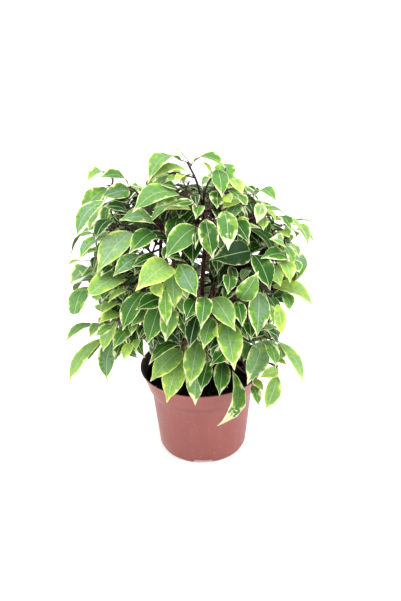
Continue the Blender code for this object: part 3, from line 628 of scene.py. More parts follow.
# %% Stems
Stem = namedtuple("Stem", "radius trunk limbs")
ROOT_DEPTH = 0.0460
LIMB_SHARE = 0.72
STEMS = {
    "stem_main": Stem(
        0.0031,
        ((0.004, 0.004, ROOT_DEPTH), (0.004, 0.004, 0.090), (0.003, 0.000, 0.130), (0.002, -0.001, 0.170),
         (0.004, 0.000, 0.200), (0.006, 0.002, 0.230), (0.003, 0.002, 0.256)),
        (((0.003, 0.000, 0.118), (0.001, -0.022, 0.138), (-0.002, -0.045, 0.150)),),
    ),
    "stem_left": Stem(
        0.0026,
        ((-0.014, -0.002, ROOT_DEPTH), (-0.014, -0.002, 0.088), (-0.019, -0.005, 0.120),
         (-0.026, -0.006, 0.160), (-0.035, -0.004, 0.200), (-0.034, 0.000, 0.223), (-0.029, 0.002, 0.242)),
        (((-0.017, -0.004, 0.108), (-0.040, -0.014, 0.132), (-0.066, -0.020, 0.146)),),
    ),
    "stem_right": Stem(
        0.0026,
        ((0.017, -0.003, ROOT_DEPTH), (0.017, -0.003, 0.088), (0.014, -0.006, 0.120), (0.0115, -0.008, 0.160),
         (0.0125, -0.008, 0.1755), (0.028, -0.007, 0.1945), (0.0465, -0.003, 0.210), (0.060, 0.002, 0.222)),
        (((0.0145, -0.005, 0.112), (0.034, -0.014, 0.134), (0.056, -0.020, 0.148)),),
    ),
    "stem_back": Stem(
        0.0025,
        ((-0.002, 0.019, ROOT_DEPTH), (-0.002, 0.019, 0.088), (0.000, 0.026, 0.130), (0.004, 0.034, 0.170),
         (0.006, 0.038, 0.205), (0.002, 0.040, 0.235)),
        (((0.000, 0.0235, 0.115), (0.030, 0.046, 0.140), (0.052, 0.056, 0.160)),
         ((0.0005, 0.027, 0.135), (-0.030, 0.048, 0.155), (-0.056, 0.054, 0.175))),
    ),
}


def wood_runs(stem):
    """The trunk of a stem and then its limbs, each as its points and its radii."""
    limbs = [(limb, taper(len(limb), LIMB_SHARE * stem.radius, 0.5 * stem.radius)) for limb in stem.limbs]
    return [(stem.trunk, taper(len(stem.trunk), stem.radius, 0.55 * stem.radius))] + limbs


def grown(points, radii):
    """A rod's run with more points, and with small swellings along it."""
    fine = eased([Vector(point) for point in points], 6)
    spread = [Vector((radius, 0, 0)) for radius in radii]
    thick = [part.x for part in eased(spread, 6)]
    swell = [0.86 + 0.10 * noise.noise(place * 110.0) for place in fine]
    return fine, [radius * part for radius, part in zip(thick, swell)], 0


for name, stem in STEMS.items():
    wood = rods(name.replace("stem", "bark"), [grown(*run) for run in wood_runs(stem)], 3)
    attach(wood, "root")
    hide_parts(name)
print("stems:", len(STEMS))

# %% [markdown]
# The leaves of the near side were read one by one: the pixels of a blade's foot and tip, its width in
# millimetres, its look, how far out it stands, how much it faces the viewer, and how strongly it arches and
# bows to a side. The solids used the same list, so each entry can be found again in its solid.

# %% The leaves that the viewer sees
Leaf = namedtuple("Leaf", "foot tip width look layer face arch bow", defaults=("green", 0.86, 0.6, 0.17, 0.0))
READ_LEAVES = {
    "crown_top": (
        (191, 175, 151, 181, 18, "fresh", 0.84, 0.35, 0.24),
        (194, 162, 225.5, 168, 16, "green", 0.9, 0.0, 0.22),
        (181, 161, 147.7, 184.3, 21, "mid", 0.9, 0.0, 0.26), (182.5, 155, 173, 149.5, 6, "lime", 0.95, 0.3),
    ),
    "crown_right": (
        (203, 188, 211.5, 177, 9, "blue"), (217.5, 170, 222, 198, 15.5, "green", 0.9),
        (212, 173, 202.3, 161.5, 4, "lime", 0.9),
    ),
    "crown_lime": (
        (239, 200, 221.5, 209.7, 15, "lime", 0.75, 0.2), (226, 195, 231, 203, 10, "lime"),
        (230, 178.5, 243, 195, 13, "fresh", 0.9, 0.2),
    ),
    "right_upper": (
        (247, 204.8, 236.5, 194.6, 9), (261, 204, 256.6, 223.7, 12, "cream", 0.9),
        (255.4, 193, 255.6, 186.6, 6, "dark"), (255, 196, 277, 203, 14, "green", 0.92, 0.0, 0.28),
    ),
    "right_shoulder": (
        (259, 219, 263.4, 230.8, 12, "light", 0.8), (262, 210, 276, 221.5, 11, "lime", 0.97, 0.2),
        (276, 217.5, 292, 233, 13, "deep", 0.93, 0.1, 0.22),
    ),
    "right_reach": (
        (281, 231, 289.3, 238, 12, "lime"), (289, 226, 308, 245.7, 15, "light", 0.92, 0.1, 0.26),
        (292, 229, 315, 245, 12, "cream", 0.85, -0.3),
        (291, 224, 313.8, 224.6, 13, "green", 0.95, -0.5, 0.2),
    ),
    "right_middle": (
        (266.4, 265.4, 281, 287, 16, "light"), (286.5, 258, 260.6, 258.7, 16, "deep", 0.86, 0.3),
        (282, 261, 290, 283, 15, "light", 0.9), (294, 260, 299.5, 273, 10),
    ),
    "right_hang": (
        (283, 246, 269, 239, 13, "cream"), (284.3, 245.7, 292, 266.2, 13, "green", 0.93, 0.4),
        (288.5, 244, 299, 257.8, 10, "cream", 0.97, 0.2),
    ),
    "right_low": (
        (253.5, 255, 270.4, 290.8, 19, "dark", 0.75), (270, 305, 275.4, 324.1, 10, "mid"),
        (277, 304, 281.7, 335.3, 12, "lime", 0.9), (283, 293, 290, 311, 16),
        (272, 287, 315.5, 308, 22, "lime", 0.93, 0.2, 0.14),
    ),
    "right_skirt": (
        (248, 343, 243, 362, 15, "green", 0.7), (262, 342, 247, 385, 22, "cream", 0.98),
        (267, 343, 276, 367, 13, "green", 0.84, 0.3), (277, 341, 266, 330, 14, "night"),
        (278, 343, 281.5, 360, 10, "deep"), (279, 342, 303, 383, 19, "light", 0.95, 0.0, 0.08),
    ),
    "centre_right": (
        (250, 251, 209, 260, 23, "night", 0.72, 0.75), (228.5, 276, 227.7, 294.8, 13, "deep"),
        (232, 223.5, 249.6, 244, 18, "dark", 0.72), (248.8, 219, 235.8, 224.4, 8, "lime", 0.8),
    ),
    "centre_top": (
        (205.5, 219.5, 213, 259.6, 18, "patched", 0.82, 0.7), (200, 206, 195.6, 219.5, 11, "deep"),
        (194.7, 197.7, 196.5, 207.5, 9, "night"),
    ),
    "centre_hang": (
        (224, 211, 228.2, 250.7, 18, "cream_end", 0.92, 0.75), (217.5, 191, 217, 209.5, 15, "patched", 0.8),
    ),
    "left_top": (
        (191, 209.7, 164.6, 210, 12, "light", 0.75, 0.3), (193.8, 202.6, 171.3, 206.2, 8, "deep"),
        (176.3, 198.6, 154.8, 208.4, 12, "green", 0.8),
        (179.4, 195.4, 132, 213, 23, "green", 0.92, 0.3, 0.22), (175.8, 189.6, 160.6, 185.2, 9, "dark"),
        (183, 183.5, 174, 184.3, 8, "lime"), (182.5, 181, 165.3, 180.7, 12, "light", 0.85, 0.1),
    ),
    "left_reach": (
        (154.8, 224.8, 119, 220.5, 18, "blue", 0.8, 0.4), (141, 193.7, 128.5, 185.6, 10, "blue", 0.8),
        (127, 211.5, 102.4, 207, 12, "night", 0.8), (129, 200.5, 111.3, 198.1, 10, "night", 0.8),
        (129.2, 190.5, 101, 197.5, 16, "blue", 0.9, 0.65, 0.12),
        (127.5, 183.5, 98.5, 178, 16, "deep", 0.98, 0.2, 0.14),
        (107, 188, 80.5, 211, 18, "green", 0.93, 0.3, 0.12),
    ),
    "left_far": (
        (103, 207, 88.4, 232.4, 12, "cream", 0.9, 0.2),
        (105.5, 201, 77, 237.5, 18, "blue", 0.95, 0.4, 0.16),
        (104.6, 175, 86.6, 182.5, 13, "cream", 0.9, 0.1, 0.28),
    ),
    "left_mid": (
        (131.5, 232.6, 96.6, 273.5, 25, "pale", 0.95, 0.75), (112, 220.5, 95.4, 240, 15, "night"),
        (94.4, 234, 78.8, 237.5, 8, "cream", 0.88, 0.1),
        (104.6, 237, 79.6, 260.5, 14, "blue", 0.88, 0.1, 0.22), (98, 251, 86.3, 254.3, 8, "blue", 0.8),
    ),
    "left_edge": (
        (141.4, 256, 113, 276.6, 16, "blue", 0.82), (113.6, 267.2, 100.6, 276.6, 12, "dark", 0.8),
        (98, 256, 94, 272, 8, "night", 0.8), (92, 271, 69.5, 286, 17, "cream", 0.9, 0.4),
        (83, 262, 67.6, 267, 8, "cream", 0.9, 0.1),
    ),
    "left_broad": (
        (157, 257, 131.6, 267.2, 12, "dark", 0.75), (126, 279.5, 89.5, 294.5, 22, "broad", 0.93, 0.5),
        (128, 290, 108, 303, 10, "light", 0.8, -0.1), (114, 289, 101.5, 302.4, 10, "dark", 0.8, 0.2),
        (105, 291, 95, 302.5, 9, "green", 0.8), (90.5, 286.5, 74.5, 315, 20, "broad_green", 0.93),
    ),
    "left_inner": (
        (181.2, 259.6, 166.9, 257.9, 12, "dark", 0.6), (153.9, 232.9, 128.7, 254.3, 18, "deep", 0.82, 0.7),
    ),
    "left_big": (
        (168.6, 264.4, 135, 291.5, 25, "fresh", 0.95, 0.75), (156, 284, 162, 299, 12, "lime"),
        (144, 292, 122.5, 331, 18, "deep", 0.9, 0.4),
    ),
    "centre_left": (
        (190.5, 238, 193, 266, 21, "night", 0.6, 0.7), (195.4, 232.9, 195.4, 249.4, 6, "night"),
        (197, 227.5, 164.8, 258.7, 22, "deep", 0.92),
    ),
    "low_centre": (
        (180, 264.5, 197.4, 298, 19, "blue", 0.93, 0.7), (171.9, 272.4, 174.6, 310, 18, "light", 0.93, 0.7),
        (165, 290, 167, 326, 12, "green", 0.9), (172, 308, 165.3, 342.1, 16, "green", 0.92, 0.7),
    ),
    "low_middle": (
        (204, 298, 200.9, 329.2, 15, "deep", 0.9, 0.7), (195.6, 301.5, 185.4, 320.7, 16, "dark", 0.9, 0.7),
        (190, 312, 184, 325, 9, "night", 0.8), (197, 316, 189.4, 348.4, 14, "night", 0.8),
    ),
    "left_low": (
        (161.3, 299.7, 135.4, 310, 17, "dark", 0.8), (160.8, 301.5, 147.4, 344.4, 19, "deep", 0.85, 0.7),
        (147.9, 311.3, 130.9, 326.5, 15, "mid", 0.88), (145, 327, 138.5, 339.5, 10, "night", 0.8),
        (137, 318, 131, 336, 9, "mid", 0.82), (138, 339.5, 136.3, 350.6, 7, "pale", 0.8),
    ),
    "left_skirt": (
        (131, 343, 123.7, 361.8, 10, "lime"), (130, 330, 113, 350, 14, "green", 0.9),
        (121.5, 345, 115, 361.5, 10, "dark", 0.84), (116, 337, 108, 382, 20, "blue", 0.93),
        (103, 341, 87, 361.8, 7, "dark", 0.76), (104, 338, 68.5, 384, 20, "light", 0.93, 0.0, 0.08),
    ),
    "left_outer": (
        (120.3, 306, 100.2, 316.3, 14, "fresh", 0.88, 0.3),
        (122, 315.4, 98.8, 323.8, 16, "fresh", 0.9, 0.4), (117, 321, 103, 352, 14, "light", 0.92, 0.4),
        (112.7, 326, 94.8, 337.2, 9), (102.9, 326.5, 89.5, 339.5, 12, "cream", 0.88),
        (98.4, 326, 65, 343, 17, "green", 0.92, -0.15, 0.2),
    ),
    "front_left": (
        (180, 345, 148.8, 364.8, 18, "deep", 0.86, 0.3, 0.2),
        (182, 350, 150.1, 381.8, 20, "light", 0.92, 0.5), (181, 357, 166.6, 403.2, 22, "fresh", 0.95, 0.7),
    ),
    "front_centre": (
        (211.6, 318, 203.1, 349.7, 16, "mid", 0.9, 0.7), (197.9, 340.7, 189.8, 387.1, 20, "mid", 0.92, 0.7),
        (208, 362, 200.5, 391.6, 14, "dark"), (197, 352, 195.2, 405.9, 18, "cream", 0.88),
    ),
    "front_right": (
        (213, 298, 235.7, 331.4, 20, "mid", 0.92, 0.5), (218, 324, 219.2, 338.1, 9, "lime"),
        (225, 320.3, 234.5, 370.7, 23, "light", 0.95, 0.7), (216, 334, 208, 351, 12, "night", 0.8),
        (230, 344, 209.5, 366, 15, "dark"),
    ),
    "right_front": (
        (240, 299, 258.8, 270.7, 18, "mid", 0.93, 0.7), (237, 301.5, 242.4, 327, 13, "deep"),
        (258.5, 291.7, 256.7, 337.2, 20, "blue", 0.93, 0.75), (247.3, 320.3, 251.3, 340, 14, "dark", 0.82),
    ),
    "front_curl": (
        (222, 362, 219.3, 396.1, 17, "deep"),
        (232.7, 371, 216.6, 426.4, 17, "curled", 0.95, 0.5, 0.1, -0.15),
        (252.3, 385.5, 258.6, 406, 10.5, "green", 0.9), (253.5, 379.5, 263.8, 391.3, 8, "lime", 0.84),
    ),
    "right_tail": (
        (274, 361, 287, 365, 7, "lime", 0.9, 0.3), (278, 371, 259, 377.5, 12, "lime", 0.92, 0.4),
        (277, 375.5, 265.5, 410, 16, "light", 0.94, 0.4),
    ),
}
NEAR_SHOOTS = {}
for name, rows in READ_LEAVES.items():
    NEAR_SHOOTS[name] = [Leaf(row[:2], row[2:4], *row[4:]) for row in rows]
print(sum(map(len, NEAR_SHOOTS.values())), "leaves were read on", len(NEAR_SHOOTS), "shoots")

# %% [markdown]
# A pixel is a line of sight into the crown. A leaf's foot lies where its line meets a dome, and its tip is
# the point of its own line that lies one leaf's length away. These are the rules that placed the solids.

# %% From pixels to places
CROWN_MIDDLE = Vector((-0.008, 0.0, 0.185))
CROWN_RADII = Vector((0.118, 0.110, 0.122))
OUTERMOST = 1.06
OUTERMOST_BY_RULE = 0.98
LENGTH_PER_WIDTH = 2.3
CHORD_PER_LENGTH = 0.93
PETIOLE = 0.008
LOWEST_TIP = 0.062


def sight_line(pixel):
    across = (pixel[0] - PICTURE_MIDDLE[0]) / FOCAL_PIXELS
    rise = (PICTURE_MIDDLE[1] - pixel[1]) / FOCAL_PIXELS
    return eye, (forward + across * sight_right + rise * sight_above).normalized()


def in_crown(place):
    offset = place - CROWN_MIDDLE
    return Vector([part / radius for part, radius in zip(offset, CROWN_RADII)])


def on_dome(pixel, layer):
    """Where the line of sight meets the dome shrunk to this layer, or passes nearest to it."""
    start = in_crown(eye)
    along = sight_line(pixel)[1]
    run = Vector([part / radius for part, radius in zip(along, CROWN_RADII)])
    nearest = -start.dot(run) / run.dot(run)
    spare = layer**2 - (start + nearest * run).length_squared
    return eye + (nearest - sqrt(max(spare, 0.0) / run.dot(run))) * along


def outward(place):
    away = place - CROWN_MIDDLE
    away.z *= 0.5
    return away.normalized()


def at_distance(pixel, centre, distance):
    """The nearer point of a line of sight that lies so far from centre, or the closest it comes."""
    along = sight_line(pixel)[1]
    nearest = (centre - eye).dot(along)
    spare = distance**2 - (eye + nearest * along - centre).length_squared
    return eye + (nearest - sqrt(max(spare, 0.0))) * along


def face_normal(chord, raw):
    along = chord.normalized()
    return (raw - along * raw.dot(along)).normalized()


def turned_about(vector, axis, degrees):
    return Matrix.Rotation(radians(degrees), 3, axis) @ vector


print("the middle pixel meets the dome at", tuple(round(part, 3) for part in on_dome(PICTURE_MIDDLE, 1.0)))

# %% [markdown]
# Each solid holds one of a few possible poses of every leaf, the first that was clear of its neighbours.
# The pose is found again by trying them all against the solid's own corners.

# %% Poses of a leaf
Blade = namedtuple("Blade", "node foot tip normal width arch bow", defaults=(0.0,))
LEAF_FOLD = 0.22
STEPS_INWARD = (0, 0.08, 0.16, 0.24)
NEAR_SIZES = (1.0, 0.85)
NEAR_TILTS = (0, 20, -20, 40, -40, 65, -65)
NEAR_PUSHES = (0, 7, -7, 14, -14, 21, -21, 30, -30)
RULE_SIZES = (1.0, 0.85, 0.7)
RULE_SWINGS = (0, 25, -25, 50, -50, 80, -80, 120, -120)


def near_ends(leaf):
    """The foot and tip of a leaf that was read, on a deeper layer if its tip would leave the crown."""
    chord_length = leaf.width / 1000 * LENGTH_PER_WIDTH * CHORD_PER_LENGTH
    for step in STEPS_INWARD:
        foot = on_dome(leaf.foot, leaf.layer - step)
        tip = at_distance(leaf.tip, foot, chord_length)
        if in_crown(tip).length < OUTERMOST:
            break
    return foot, tip


def near_blades(leaf, node):
    """The poses of a leaf that was read. A push moves its tip nearer or further by millimetres."""
    width = leaf.width / 1000
    toward = -sight_line(leaf.foot)[1]
    foot, tip = near_ends(leaf)
    poses = []
    raw = (1 - leaf.face) * UP + leaf.face * toward + 0.35 * outward(foot)
    for size in NEAR_SIZES:
        for tilt in NEAR_TILTS:
            for push in NEAR_PUSHES:
                end = foot + size * (tip - toward * push / 1000 - foot)
                chord = end - foot
                normal = turned_about(face_normal(chord, raw), chord.normalized(), tilt)
                poses.append(Blade(node, foot, end, normal, size * width, leaf.arch, leaf.bow))
    return poses


def rule_blades(name, index, node, along, lengths=(0.040, 0.056), reach=OUTERMOST_BY_RULE):
    """The poses of a leaf that follows the rule: alternate sides of the twig, outward and down."""
    draw = random.Random(f"{name} {index}")
    length = draw.uniform(*lengths)
    width = length / LENGTH_PER_WIDTH
    out = outward(node)
    side = along.cross(UP).normalized() * (1 if index % 2 else -1)
    lean = 0.35 * draw.uniform(0.4, 1.6)
    way = (0.7 * out + 0.75 * side + 0.5 * along - lean * UP).normalized()
    roll = draw.uniform(-18, 18)
    arch = draw.uniform(0.14, 0.25)
    poses = []
    for size in RULE_SIZES:
        for swing in RULE_SWINGS:
            heading = turned_about(way, along, swing)
            foot = node + PETIOLE * (heading + 0.5 * UP).normalized()
            tip = foot + size * length * CHORD_PER_LENGTH * (heading - 0.25 * UP).normalized()
            if in_crown(tip).length > reach or tip.z < LOWEST_TIP:
                continue
            chord = tip - foot
            normal = turned_about(face_normal(chord, UP + 0.5 * out), chord.normalized(), roll)
            poses.append(Blade(node, foot, tip, normal, size * width, arch))
    return poses


# %% [markdown]
# A twig leaves the nearest wood at a right angle and runs on smoothly, under the feet of its leaves or up and
# over to its end. Each solid holds one of a few such lines, so these are tried against it too.

# %% Lines of a twig
WAYS_ROUND = (
    (0, 0, 0), (0, 0, 0.007), (0, 0, -0.007), (0.007, 0, 0), (-0.007, 0, 0), (0, 0.007, 0), (0, -0.007, 0),
)


def carriers():
    """Points every few millimetres along the wood that can bear a shoot: place, radius, axis."""
    found = []
    for stem in STEMS.values():
        trunk, *limbs = [list(zip(*run)) for run in wood_runs(stem)]
        for run in [trunk[1:]] + limbs:
            for (start, thick), (end, thin) in zip(run, run[1:]):
                start, end = Vector(start), Vector(end)
                steps = max(2, int((end - start).length / 0.004))
                axis = (end - start).normalized()
                for index in range(1, steps):
                    share = index / steps
                    found.append((start.lerp(end, share), thick + share * (thin - thick), axis))
    return found


CARRIERS = carriers()


def smoothed(points):
    inner = [(before + 2 * here + after) / 4 for before, here, after in zip(points, points[1:], points[2:])]
    return [points[0]] + inner + [points[-1]]


def twig_starts(goal, count=10):
    """Ways to leave the wood towards a goal, the likeliest first: two points each."""

    def cost(carrier):
        place = carrier[0]
        flat = Vector((goal.x - place.x, goal.y - place.y)).length
        return (goal - place).length + 2.0 * max(0.0, place.z - goal.z + 0.3 * flat)

    starts = []
    for place, radius, axis in sorted(CARRIERS, key=cost):
        toward = goal - place
        side = (toward - axis * toward.dot(axis)).normalized()
        root = place + side * (radius + GAP)
        if all((root - other[0]).length > 0.006 for other in starts):
            starts.append((root, root + 0.004 * side))
        if len(starts) == count:
            break
    return starts


def near_twigs(leaves):
    """Paths of a twig that passes close under the feet of its leaves."""
    for inset in (0.003, 0.007, 0.011):
        nodes = []
        for leaf in leaves:
            foot, tip = near_ends(leaf)
            nodes.append(foot - PETIOLE * (tip - foot).normalized() - inset * outward(foot) - 0.001 * UP)
        bud = nodes[-1] + 0.010 * (nodes[-1] - nodes[-2]).normalized()
        for start in twig_starts(nodes[0]):
            for aside in WAYS_ROUND:
                middle = [(start[1] + nodes[0]) / 2 + Vector(aside)] if any(aside) else []
                path = smoothed([start[1]] + middle + nodes + [bud])
                yield [start[0]] + path, path[1 + len(middle):-1]


def rule_twigs(end):
    """Paths of a twig that rises from the wood and bows over towards its end."""
    for start in twig_starts(end):
        reach = end - start[1]
        for aside in WAYS_ROUND:
            bow = 0.12 * reach.length * UP + Vector(aside)
            shares = (0, 0.35, 0.6, 0.8, 1)
            path = [start[1] + share * reach + 4 * share * (1 - share) * bow for share in shares]
            yield [start[0]] + path, None


# %% [markdown]
# A blade is ovate with a drawn-out tip. It arches along its midrib, and its two halves rise from the rib
# like a shallow boat. Functions give its outline and its midrib at any share of its length.

# %% The form of a blade


def egg(share, widest, low_power, low_root, upper_length, upper_power):
    """The outline of an egg, 1 where it is widest. Each half has its own roundness."""
    if share < widest:
        return (1 - ((widest - share) / widest) ** low_power) ** low_root
    return max(0.0, 1 - ((share - widest) / upper_length) ** upper_power)


def half_width(width, share):
    """Half the width of a blade at a share of its length: an egg that ends in a long, narrow drip tip."""
    shape = egg(share, 0.47, 2, 0.78, 0.465, 2.5)
    drip = 0.07 + 0.5 * max(0.0, 0.92 - share) if share > 0.8 else 0.0
    closing = min(1.0, (1 - share) / 0.03)
    return 0.475 * width * max(shape, drip * closing)


def coarse_half(blade, share):
    """The same for the solid, which has only two rows of corners."""
    return blade.width / 2 * max(egg(share, 0.42, 2.2, 0.7, 0.90 - 0.42, 1.8), 0.35 * (1 - share))


def side_of(blade):
    return (blade.tip - blade.foot).normalized().cross(blade.normal)


def midrib(blade, share):
    chord = blade.tip - blade.foot
    bend = chord.length * 4 * share * (1 - share)
    return blade.foot + share * chord + bend * (blade.arch * blade.normal + blade.bow * side_of(blade))


def coarse_corners(blade):
    """The corners of the solid's blade: foot, two rows of left, rib and right, and the tip."""
    side = side_of(blade)
    corners = [blade.foot]
    for share in (0.28, 0.66):
        half = coarse_half(blade, share)
        for across in (-half, 0.0, half):
            corners.append(midrib(blade, share) + side * across + blade.normal * abs(across) * LEAF_FOLD)
    return corners + [blade.tip]


COARSE_FACES = ((0, 1, 2), (0, 2, 3), (1, 4, 5, 2), (2, 5, 6, 3), (4, 7, 5), (5, 7, 6))


def blade_tree(blade, half_gap):
    """A search tree of a blade as two sheets, half_gap above and below it."""
    corners = coarse_corners(blade)
    points = [corner + sign * half_gap * blade.normal for sign in (1, -1) for corner in corners]
    faces = [tuple(index + shift for index in face) for shift in (0, 8) for face in COARSE_FACES]
    return BVHTree.FromPolygons(points, faces)


# %% [markdown]
# Each solid's corners go into a search tree. Of all possible lines, the twig is the one with the least
# distance to them, and a leaf's pose is the one whose corners all meet theirs. Three leaves that were read
# have no such pose, for their solids had no room for them.

# %% Find each twig and leaf in its solid
MISFIT_LIMIT = 0.0006
BACK_SHOOTS = 16
INNER_SHOOTS = 4
BACK_LAYER = 0.78
INNER_LAYER = 0.50
RULE_LEAVES = 5
GOLDEN_STEP = 0.618034


def corner_tree(shoot):
    corners = frame["nodes"]["shoot_" + shoot].data.vertices
    tree = KDTree(len(corners))
    for corner in corners:
        tree.insert(corner.co, corner.index)
    tree.balance()
    return tree


def misfit(points, tree):
    """How far the farthest of the points is from a corner of the solid."""
    return max(tree.find(point)[2] for point in points)


def found_twig(paths, tree):
    return min(paths, key=lambda entry: sum(tree.find(point)[2] for point in entry[0]))


def found_blade(poses, tree):
    """The pose that the solid holds, or none where the solid has no such leaf."""
    scored = [(misfit(coarse_corners(blade)[1:], tree), number) for number, blade in enumerate(poses)]
    if not scored:
        return None
    best, number = min(scored)
    return poses[number] if best < MISFIT_LIMIT else None


def twig_spot(path, spot):
    """The place and the heading at a spot of a path, where a whole number is one of its points."""
    low = min(int(spot), len(path) - 2)
    return path[low].lerp(path[low + 1], spot - low), (path[low + 1] - path[low]).normalized()


def rule_ends():
    """Ends of the shoots that follow the rule: round the back of the dome, then in its dark inside."""
    for index in range(BACK_SHOOTS):
        height = -0.75 + 1.62 * (index + 0.5) / BACK_SHOOTS
        turn = radians(-28 + 236 * ((index * GOLDEN_STEP) % 1.0))
        reach = max(0.80 if height < 0 else 0, sqrt(1 - height**2))
        yield f"back_{index + 1:02d}", BACK_LAYER, Vector((reach * cos(turn), reach * sin(turn), height))
    for index in range(INNER_SHOOTS):
        turn = radians(-150 + 120 * index / (INNER_SHOOTS - 1))
        way = Vector((cos(turn), sin(turn), -0.25 + 0.3 * (index % 2)))
        yield f"inner_{index + 1:02d}", INNER_LAYER, way.normalized()


# A finer pose of single leaves: a roll in degrees, changes of arch and bow, and a share of the width
FINER = {
    ("crown_top", 0): (15, 0.05, 0, 0.9), ("crown_top", 1): (4, 0, 0, 1.1), ("crown_top", 2): (0, 0.05, 0, 1),
    ("left_reach", 4): (-35, 0.02, 0, 1), ("left_reach", 5): (-30, 0.06, 0, 1),
    ("left_reach", 6): (-20, -0.05, 0, 1), ("left_far", 1): (0, 0.10, 0, 1), ("left_far", 2): (-25, 0, 0, 1),
    ("right_upper", 3): (12, 0, 0, 1.1), ("left_skirt", 5): (0, 0.03, 0, 1), ("left_outer", 5): (-6, 0, 0, 1),
    ("right_skirt", 5): (0, 0.05, 0, 0.9), ("left_skirt", 3): (0, 0, 0.06, 0.9),
    ("right_low", 4): (-8, 0.03, 0, 1.1), ("front_curl", 1): (0, 0, -0.05, 0.85),
    ("front_left", 0): (25, 0, 0, 0.8), ("left_edge", 3): (-20, 0.08, 0, 1.1),
}


def finer(blade, key):
    roll, arch, bow, width = FINER.get(key, (0, 0, 0, 1))
    normal = turned_about(blade.normal, (blade.tip - blade.foot).normalized(), roll)
    blade = blade._replace(normal=normal, width=width * blade.width)
    return blade._replace(arch=blade.arch + arch, bow=blade.bow + bow)


Shoot = namedtuple("Shoot", "path blades")
BACK_LOOKS = ("green", "light", "blue", "cream", "light", "green")
shoots = {}
unplaced = []
for name, leaves in NEAR_SHOOTS.items():
    tree = corner_tree(name)
    path, stalk_roots = found_twig(near_twigs(leaves), tree)
    blades = []
    for index, (leaf, root) in enumerate(zip(leaves, stalk_roots)):
        blade = found_blade(near_blades(leaf, root), tree)
        if blade:
            blades.append((finer(blade, (name, index)), leaf.look))
        else:
            unplaced.append((name, leaf, root))
    shoots[name] = Shoot(path, blades)
for name, layer, way in rule_ends():
    tree = corner_tree(name)
    end = CROWN_MIDDLE + Vector([layer * part * radius for part, radius in zip(way, CROWN_RADII)])
    path, stalk_roots = found_twig(rule_twigs(end), tree)
    blades = []
    draw = random.Random("look " + name)
    for index in range(RULE_LEAVES):
        root, along = twig_spot(path, 2 + index * (len(path) - 3.3) / (RULE_LEAVES - 1))
        blade = found_blade(rule_blades(name, index, root, along), tree)
        if blade:
            looks = ("dark", "night") if layer == INNER_LAYER else BACK_LOOKS
            blades.append((blade, draw.choice(looks)))
    shoots[name] = Shoot(path, blades)
found = sum(len(shoot.blades) for shoot in shoots.values())
print(found, "leaves found in the solids, and", len(unplaced), "that were read are in none")

# %% [markdown]
# The solids hold the large leaves. A real crown is denser, so smaller leaves fill the room between them. They
# grow from the same twigs, or from short side twigs of these. Each keeps clear of all that is there, and none
# hides a leaf that was read, the trunk, or a gap where the photo shows the white behind.

# %% Fill the crown with smaller leaves
FILL_PER_SHOOT = 6
FILL_LENGTHS = (0.026, 0.046)
SHUT_LENGTHS = (0.034, 0.052)
SHUT_SEARCH = 60
SHUT_MISS = 6
ROOM_GAP = 0.0005
LEAF_GAP = 0.0003
LEAF_REACH = 0.06
DEEP_LAYER = 0.72
DEEP_LOOKS = ("dark", "night", "night", "dark")
FILL_LOOKS = ("green", "dark", "blue", "cream", "light")
# Windows of the picture in pixels: left, right, top and low. The trunk shows in one, no white shows in a full
# view, and it does in a sky gap
TRUNK_VIEW = (196, 210, 235, 295)
FULL_VIEWS = (
    (150, 262, 186, 350), (262, 292, 232, 300), (100, 150, 192, 345), (250, 268, 372, 394),
    (112, 140, 325, 362), (72, 88, 270, 290),
)
SKY_GAPS = (
    (152, 166, 200, 212), (157, 167, 216, 224), (144, 161, 240, 255), (119, 135, 264, 276),
    (93, 102, 250, 257), (175, 182, 250, 257), (90, 102, 214, 227), (230, 238, 175, 195),
    (244, 249, 189, 200), (265, 279, 222, 234), (256, 265, 248, 255), (202, 210, 212, 218),
    (278, 285, 269, 277), (267, 279, 291, 300), (285, 292, 238, 246), (94, 108, 296, 312),
    (106, 117, 289, 300), (114, 127, 282, 292), (150, 176, 172, 187),
)
# Pixels where the white behind would show through the crown, and the photo has leaves
SHUT_VIEWS = (
    (206, 290), (208, 284), (132, 338), (119, 356), (79, 280), (128, 270), (183, 256), (188, 259), (198, 262),
    (207, 270), (203, 284),
)
all_corners = []
all_faces = []
face_owners = []
for name, node in frame["nodes"].items():
    first = len(all_corners)
    all_corners += [corner.co for corner in node.data.vertices]
    for face in node.data.polygons:
        all_faces.append(tuple(first + index for index in face.vertices))
        face_owners.append(name)
SOLIDS = BVHTree.FromPolygons(all_corners, all_faces)
NEAR_NODES = {f"shoot_{name}" for name in NEAR_SHOOTS}
fill_trees = []


def to_pixel(place):
    offset = place - eye
    depth = offset.dot(forward)
    return (
        PICTURE_MIDDLE[0] + FOCAL_PIXELS * offset.dot(sight_right) / depth,
        PICTURE_MIDDLE[1] - FOCAL_PIXELS * offset.dot(sight_above) / depth,
    )


def is_within(x, y, view):
    left, right, top, low = view
    return left < x < right and top < y < low


def is_unwanted(place):
    """True if the viewer sees this point in front of a leaf that was read, the trunk or a white gap."""
    sight = place - eye
    reach = sight.length
    hit, _, face, distance = SOLIDS.ray_cast(eye, sight.normalized())
    if hit is not None and distance < reach - ROOM_GAP:
        return False
    if hit is not None and face_owners[face] in NEAR_NODES:
        return True
    x, y = to_pixel(place)
    if is_within(x, y, TRUNK_VIEW) and place.y < 0.004:
        return True
    if hit is not None:
        return False
    in_full = any(is_within(x, y, view) for view in FULL_VIEWS)
    return not in_full or any(is_within(x, y, gap) for gap in SKY_GAPS)


def marks_of(blade):
    """A few points of a blade, to test what it hides."""
    side = side_of(blade)
    found = [blade.foot.lerp(blade.tip, 0.1), blade.tip]
    for share in (0.3, 0.6):
        half = 0.8 * half_width(blade.width, share)
        found += [midrib(blade, share) + side * across for across in (-half, 0.0, half)]
    return found


